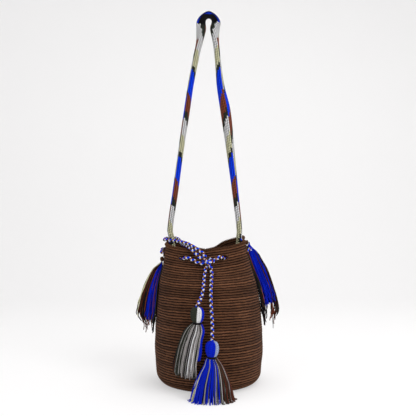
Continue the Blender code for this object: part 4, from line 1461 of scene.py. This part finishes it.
class BAG_OT_drawstring(bpy.types.Operator):
    """Makes the braided drawstring, its knot and the two tassels on its ends"""

    bl_idname = "bag.drawstring"
    bl_label = "Drawstring and tassels"

    def execute(self, context):
        rng = np.random.default_rng(11)
        left = tassel_head("left_tassel", LEFT_TASSEL_PLACE, LEFT_HEAD, rng)
        left += tassel_skirt(
            "left_tassel", LEFT_SKIRT, LEFT_SKIRT_SECTORS, LEFT_STRAYS, LEFT_SKIRT_YARNS, rng
        )
        left.append(tassel_tie("left_tassel", LEFT_TASSEL_PLACE))
        left_nodes = ("blue", "white", "olive", "rust", "grey", "tie")
        dress_all(left, [f"tassel_left_{k}" for k in left_nodes])
        right = tassel_head("right_tassel", RIGHT_TASSEL_PLACE, RIGHT_HEAD, rng)
        right += tassel_skirt(
            "right_tassel",
            RIGHT_SKIRT,
            RIGHT_SKIRT_SECTORS,
            RIGHT_STRAYS,
            RIGHT_SKIRT_YARNS,
            rng,
            floor=RIGHT_SKIRT_FLOOR,
        )
        right.append(tassel_tie("right_tassel", RIGHT_TASSEL_PLACE))
        right_nodes = ("white", "blue", "cream", "back_blue", "rust", "tie")
        dress_all(right, [f"tassel_right_{k}" for k in right_nodes])
        knot, _ = braid("knotted_cord", knot_route(), 0.0)
        dress(knot, "cord_braid", "drawstring_knot")
        routes = (
            ("cord_loop", loop_route(), 0.0, "drawstring_loop", "object", "taut", [knot]),
            ("cord_bight", BIGHT_ROUTE, 0.6, "drawstring_bight", "object", "taut", []),
            ("cord_end_left", END_LEFT_ROUTE, 0.8, "drawstring_end_left", "fitting", "hanging", left),
            ("cord_end_right", END_RIGHT_ROUTE, 2.4, "drawstring_end_right", "fitting", "hanging", right),
        )
        for name, route, phase, node, far_end, lay, held in routes:
            piece, path = braid(name, route, phase)
            dress(piece, "cord_braid", node)
        return {"FINISHED"}


def build_fringe(name, side, stations, ends, blue_end, sectors, count, rng):
    """Loose yarn ends that hang from a knot and spread over the wall, one piece for each colour.

    Ends are the heights of the innermost and the outermost yarn's end; the blue yarns have their own.
    """
    table = np.array(stations)
    knots = -table[:, 0]
    share = rng.uniform(0, 1, count)
    depth = rng.uniform(-1, 1, count)
    t = np.linspace(0, 1, FRINGE_STEPS)[None]
    keys = colour_of(share, sectors, rng, FRINGE_STRAYS)
    end = ends[0] + (ends[1] - ends[0]) * share + rng.normal(0, 0.013, count)
    end = np.where(keys == "blue", blue_end + rng.normal(0, 0.006, count) + 0.02 * share, end)
    z = table[0, 0] + t * (end - table[0, 0])[:, None]
    held = smooth_read(knots, table[:, 1:], -z)
    s = np.interp(z, OUTLINE[:, 3], OUTLINE[:, 0])
    loose = eased(0, 0.2, t)
    y = depth[:, None] * held[..., 1] * 1.5 * loose
    radius_here = np.abs(bag_point(90.0 * side, s)[..., 0])
    wall = np.sqrt(radius_here**2 - y**2) + FRINGE_STANDOFF
    outer = held[..., 0] + held[..., 1]
    lateral = wall + np.maximum(outer - wall, 0.002) * share[:, None] ** 1.15
    lateral = table[0, 1] * (1 - loose) + lateral * loose
    wave = rng.uniform(0.9, 2.4, (count, 1)) * t + rng.random((count, 1))
    curl = rng.uniform(2.5, 5.0, (count, 1)) * t + rng.random((count, 1))
    swing = FRINGE_SWING * t * np.sin(2 * np.pi * wave)
    lock = np.floor(share * FRINGE_LOCKS)[:, None]
    lean = FRINGE_LEAN * loose * t * (1 + np.sin(2 * np.pi * (1.6 * t + 0.37 * lock)))
    ragged = FRINGE_RAGGEDNESS * eased(0.75, 1, t) * rng.uniform(0.2, 1.7, (count, 1))
    inwards = 1 - 2 * share[:, None]
    x = lateral + (np.abs(swing) + lean) * inwards * np.minimum(4 * share[:, None], 1)
    x = x + ragged * (np.maximum(inwards, 0) + np.cos(2 * np.pi * curl) * 0.6)
    x = np.maximum(x, wall)
    y = y + swing + ragged * np.sin(2 * np.pi * curl)
    paths = np.stack([side * x, y, z], -1)
    radius = FRINGE_YARN_RADIUS * rng.uniform(0.7, 1.2, count)
    pieces = []
    for key in sorted(set(keys)):
        mine = keys == key
        points, faces, uv = tubes(paths[mine], radius[mine][:, None], np.array((0.2, 1.0, 0.0)), sides=6)
        pieces.append(mesh_piece(f"{name}_{key}", points, faces, uv, [finishes()[key]]))
    return pieces


def fringe_knot(name, side, height, distance):
    """The small knot that holds a fringe on the wall: brown yarn wound round itself."""
    t = np.linspace(0, 1, FRINGE_KNOT_STEPS)
    spin = 2 * np.pi * FRINGE_KNOT_TURNS * t
    rise = FRINGE_KNOT_HALF_HEIGHT * (1 - 2 * t)
    rounded = np.sqrt(np.clip(1 - (rise / FRINGE_KNOT_ROUND) ** 2, 0.05, 1))
    radius = FRINGE_KNOT_RADIUS * rounded
    x, y = side * distance + radius * np.cos(spin), radius * np.sin(spin)
    path = np.column_stack([x, y, height + rise])
    points, faces, uv = tubes(path[None], FRINGE_KNOT_YARN_RADIUS, np.array((0, 0, 1.0)), sides=6)
    return mesh_piece(name, points, faces, uv, [finishes()["brown_yarn"]])


# Bands of a fringe, from the wall outwards, each up to a share of its width
LEFT_FRINGE_BANDS = ((0.07, "black"), (0.54, "blue"), (0.66, "rust"), (0.95, "black"), (1.01, "cream"))
# The right fringe's black band next to the wall is partly black yarn and partly painted shade against the
# wall
RIGHT_FRINGE_BANDS = ((0.20, "black"), (0.70, "blue"), (0.79, "rust"), (0.88, "blue"), (1.01, "black"))
# Heights at which the yarns end
LEFT_FRINGE_ENDS = (0.122, 0.154)
RIGHT_FRINGE_ENDS = (0.148, 0.152)
LEFT_BLUE_END = 0.134
RIGHT_BLUE_END = 0.166
LEFT_FRINGE_FORM = (
    LEFT_FRINGE,
    LEFT_FRINGE_ENDS,
    LEFT_BLUE_END,
    LEFT_FRINGE_BANDS,
    LEFT_FRINGE_YARNS,
)
RIGHT_FRINGE_FORM = (
    RIGHT_FRINGE,
    RIGHT_FRINGE_ENDS,
    RIGHT_BLUE_END,
    RIGHT_FRINGE_BANDS,
    RIGHT_FRINGE_YARNS,
)
FRINGE_STRAYS = {
    "cream": (0.45, ("black", "rust", "grey")),
    "blue": (0.05, ("rust", "black")),
    "black": (0.30, ("russet", "olive")),
    "grey": (0.35, ("cream", "black")),
    "rust": (0.35, ("blue", "russet")),
}


class BAG_OT_fringes(bpy.types.Operator):
    """Makes the loose yarn fringes at the two sides"""

    bl_idname = "bag.fringes"
    bl_label = "Side fringes"

    def execute(self, context):
        rng = np.random.default_rng(5)
        left = build_fringe("left_fringe", -1, *LEFT_FRINGE_FORM, rng)
        right = build_fringe("right_fringe", 1, *RIGHT_FRINGE_FORM, rng)
        left_nodes = ("cream", "black", "blue", "dark", "back_rust", "back_blue", "rust")
        right_nodes = ("grey", "rust", "blue", "black", "back_rust", "back_grey", "inner_blue")
        dress_all(left, [f"fringe_left_{k}" for k in left_nodes])
        dress_all(right, [f"fringe_right_{k}" for k in right_nodes])
        left_knot = fringe_knot("left_fringe_knot", -1, *LEFT_FRINGE_KNOT)
        right_knot = fringe_knot("right_fringe_knot", 1, *RIGHT_FRINGE_KNOT)
        dress(left_knot, "crochet_brown", "fringe_left_knot")
        dress(right_knot, "crochet_brown", "fringe_right_knot")
        return {"FINISHED"}


# Stage


# The camera stands level in front of the bag; lens in millimetres, shift as a share of the picture
CAMERA_PLACE = (-0.00165, -1.2, 0.326)
CAMERA_LENS = 47.2
CAMERA_SENSOR = 36
CAMERA_SHIFT = 0.0577
# The floor runs back to where it starts to curve up
FLOOR_FRONT = -4.0
FLOOR_BACK = 1.3
FLOOR_CURVE = 0.9
FLOOR_CURVE_STEPS = 12
FLOOR_TOP = 4.5
FLOOR_HALF_WIDTH = 4.5
# How far from the bag the floor starts to show its plain colour, and where it shows nothing else
GLOW_DISTANCES = (1.3, 2.8)
GLOW_SHARES = (0.46, 1.0)
# Place, target, size and power of the lights
LIGHTS = (
    ("key_light", (1.3, -1.5, 1.6), (0, 0, 0.25), 1.4, 30),
    ("fill_light", (-1.6, -1.4, 0.9), (0, 0, 0.25), 1.8, 10),
    ("top_light", (0.3, 0.2, 2.2), (0, 0, 0.2), 1.4, 16),
)
WORLD_STRENGTH = 0.5


def build_floor():
    """A pale floor that curves up into a backdrop."""
    profile = [(FLOOR_FRONT, 0.0), (FLOOR_BACK, 0.0)]
    for k in range(1, FLOOR_CURVE_STEPS + 1):
        turn = math.radians(90 * k / FLOOR_CURVE_STEPS)
        profile.append((FLOOR_BACK + FLOOR_CURVE * math.sin(turn), FLOOR_CURVE * (1 - math.cos(turn))))
    profile.append((FLOOR_BACK + FLOOR_CURVE, FLOOR_TOP))
    points = [(x, y, z) for y, z in profile for x in (-FLOOR_HALF_WIDTH, FLOOR_HALF_WIDTH)]
    faces = [(2 * k, 2 * k + 1, 2 * k + 3, 2 * k + 2) for k in range(len(profile) - 1)]
    data = bpy.data.meshes.new("studio_floor")
    data.from_pydata(points, [], faces)
    data.shade_smooth()
    floor = bpy.data.objects.new("studio_floor", data)
    bpy.context.scene.collection.objects.link(floor)
    made = bpy.data.materials.new("studio paper")
    made.use_nodes = True
    tree = made.node_tree
    shader = tree.nodes["Principled BSDF"]
    shader.inputs["Base Color"].default_value = (*colours().backdrop, 1)
    shader.inputs["Roughness"].default_value = 0.9
    shader.inputs["Specular IOR Level"].default_value = 0.1
    glow = tree.nodes.new("ShaderNodeEmission")
    glow.inputs["Color"].default_value = (*colours().backdrop, 1)
    rays = tree.nodes.new("ShaderNodeLightPath")
    mix = tree.nodes.new("ShaderNodeMixShader")
    place = tree.nodes.new("ShaderNodeNewGeometry")
    split = tree.nodes.new("ShaderNodeSeparateXYZ")
    tree.links.new(place.outputs["Position"], split.inputs[0])
    in_front = math_node(tree, "MINIMUM", split.outputs[1], 0.0)
    beside = math_node(tree, "MULTIPLY", split.outputs[0], split.outputs[0])
    away = math_node(tree, "SQRT", math_node(tree, "MULTIPLY_ADD", in_front, in_front, beside))
    share = stretched(tree, away, *GLOW_DISTANCES, *GLOW_SHARES)
    wire(tree, math_node(tree, "MULTIPLY", rays.outputs["Is Camera Ray"], share), mix.inputs[0])
    tree.links.new(shader.outputs[0], mix.inputs[1])
    tree.links.new(glow.outputs[0], mix.inputs[2])
    tree.links.new(mix.outputs[0], tree.nodes["Material Output"].inputs[0])
    data.materials.append(made)


def area_light(name, place, target, size, power):
    """A soft light that faces a target."""
    data = bpy.data.lights.new(name, "AREA")
    data.shape = "SQUARE"
    data.size = size
    data.energy = power
    light = bpy.data.objects.new(name, data)
    bpy.context.scene.collection.objects.link(light)
    light.location = place
    light.rotation_euler = (Vector(target) - Vector(place)).to_track_quat("-Z", "Y").to_euler()


def pale_world():
    """An even pale light all round, seen as white."""
    world = bpy.data.worlds.new("studio")
    world.use_nodes = True
    tree = world.node_tree
    light = tree.nodes["Background"]
    light.inputs["Color"].default_value = (1, 1, 1, 1)
    light.inputs["Strength"].default_value = WORLD_STRENGTH
    seen = tree.nodes.new("ShaderNodeBackground")
    seen.inputs["Color"].default_value = (*colours().backdrop, 1)
    rays = tree.nodes.new("ShaderNodeLightPath")
    share = math_node(tree, "MAXIMUM", rays.outputs["Is Camera Ray"], rays.outputs["Is Glossy Ray"])
    share = math_node(tree, "MAXIMUM", share, rays.outputs["Is Transmission Ray"])
    mix = tree.nodes.new("ShaderNodeMixShader")
    tree.links.new(share, mix.inputs[0])
    tree.links.new(light.outputs[0], mix.inputs[1])
    tree.links.new(seen.outputs[0], mix.inputs[2])
    tree.links.new(mix.outputs[0], tree.nodes["World Output"].inputs[0])
    return world


class BAG_OT_stage(bpy.types.Operator):
    """Makes the floor, the lights, the world and the camera"""

    bl_idname = "bag.stage"
    bl_label = "Studio"

    def execute(self, context):
        scene = context.scene
        build_floor()
        for light in LIGHTS:
            area_light(*light)
        scene.world = pale_world()
        data = bpy.data.cameras.new("photo_camera")
        data.lens = CAMERA_LENS
        data.sensor_width = CAMERA_SENSOR
        data.shift_y = CAMERA_SHIFT
        camera = bpy.data.objects.new("photo_camera", data)
        scene.collection.objects.link(camera)
        camera.location = CAMERA_PLACE
        camera.rotation_euler = (math.pi / 2, 0, 0)
        scene.camera = camera
        scene.view_settings.view_transform = "Standard"
        return {"FINISHED"}


class BAG_PT_panel(bpy.types.Panel):
    """Lists the bag's pieces"""

    bl_label = "Crocheted bag"
    bl_space_type = "VIEW_3D"
    bl_region_type = "UI"
    bl_category = "Bag"

    def draw(self, context):
        for group in (context.scene.bag_sizes, context.scene.bag_colours):
            for key in group.__annotations__:
                self.layout.prop(group, key)
        for operator in OPERATORS:
            self.layout.operator(operator.bl_idname)


OPERATORS = (BAG_OT_stage, BAG_OT_drawstring, BAG_OT_body, BAG_OT_strap, BAG_OT_fringes)
CLASSES = (BagSizes, BagColours, *OPERATORS, BAG_PT_panel)


def register():
    """Adds the operators, the panel and the values that a user may change."""
    for cls in CLASSES:
        bpy.utils.register_class(cls)
    bpy.types.Scene.bag_sizes = bpy.props.PointerProperty(type=BagSizes)
    bpy.types.Scene.bag_colours = bpy.props.PointerProperty(type=BagColours)


def unregister():
    """Takes away what register adds."""
    del bpy.types.Scene.bag_colours
    del bpy.types.Scene.bag_sizes
    for cls in reversed(CLASSES):
        bpy.utils.unregister_class(cls)


def main():
    """Builds the dressed bag on its stage."""
    register()
    bpy.ops.bag.stage()
    bpy.ops.bag.drawstring()
    bpy.ops.bag.body()
    bpy.ops.bag.strap()
    bpy.ops.bag.fringes()


if __name__ == "__main__":
    main()
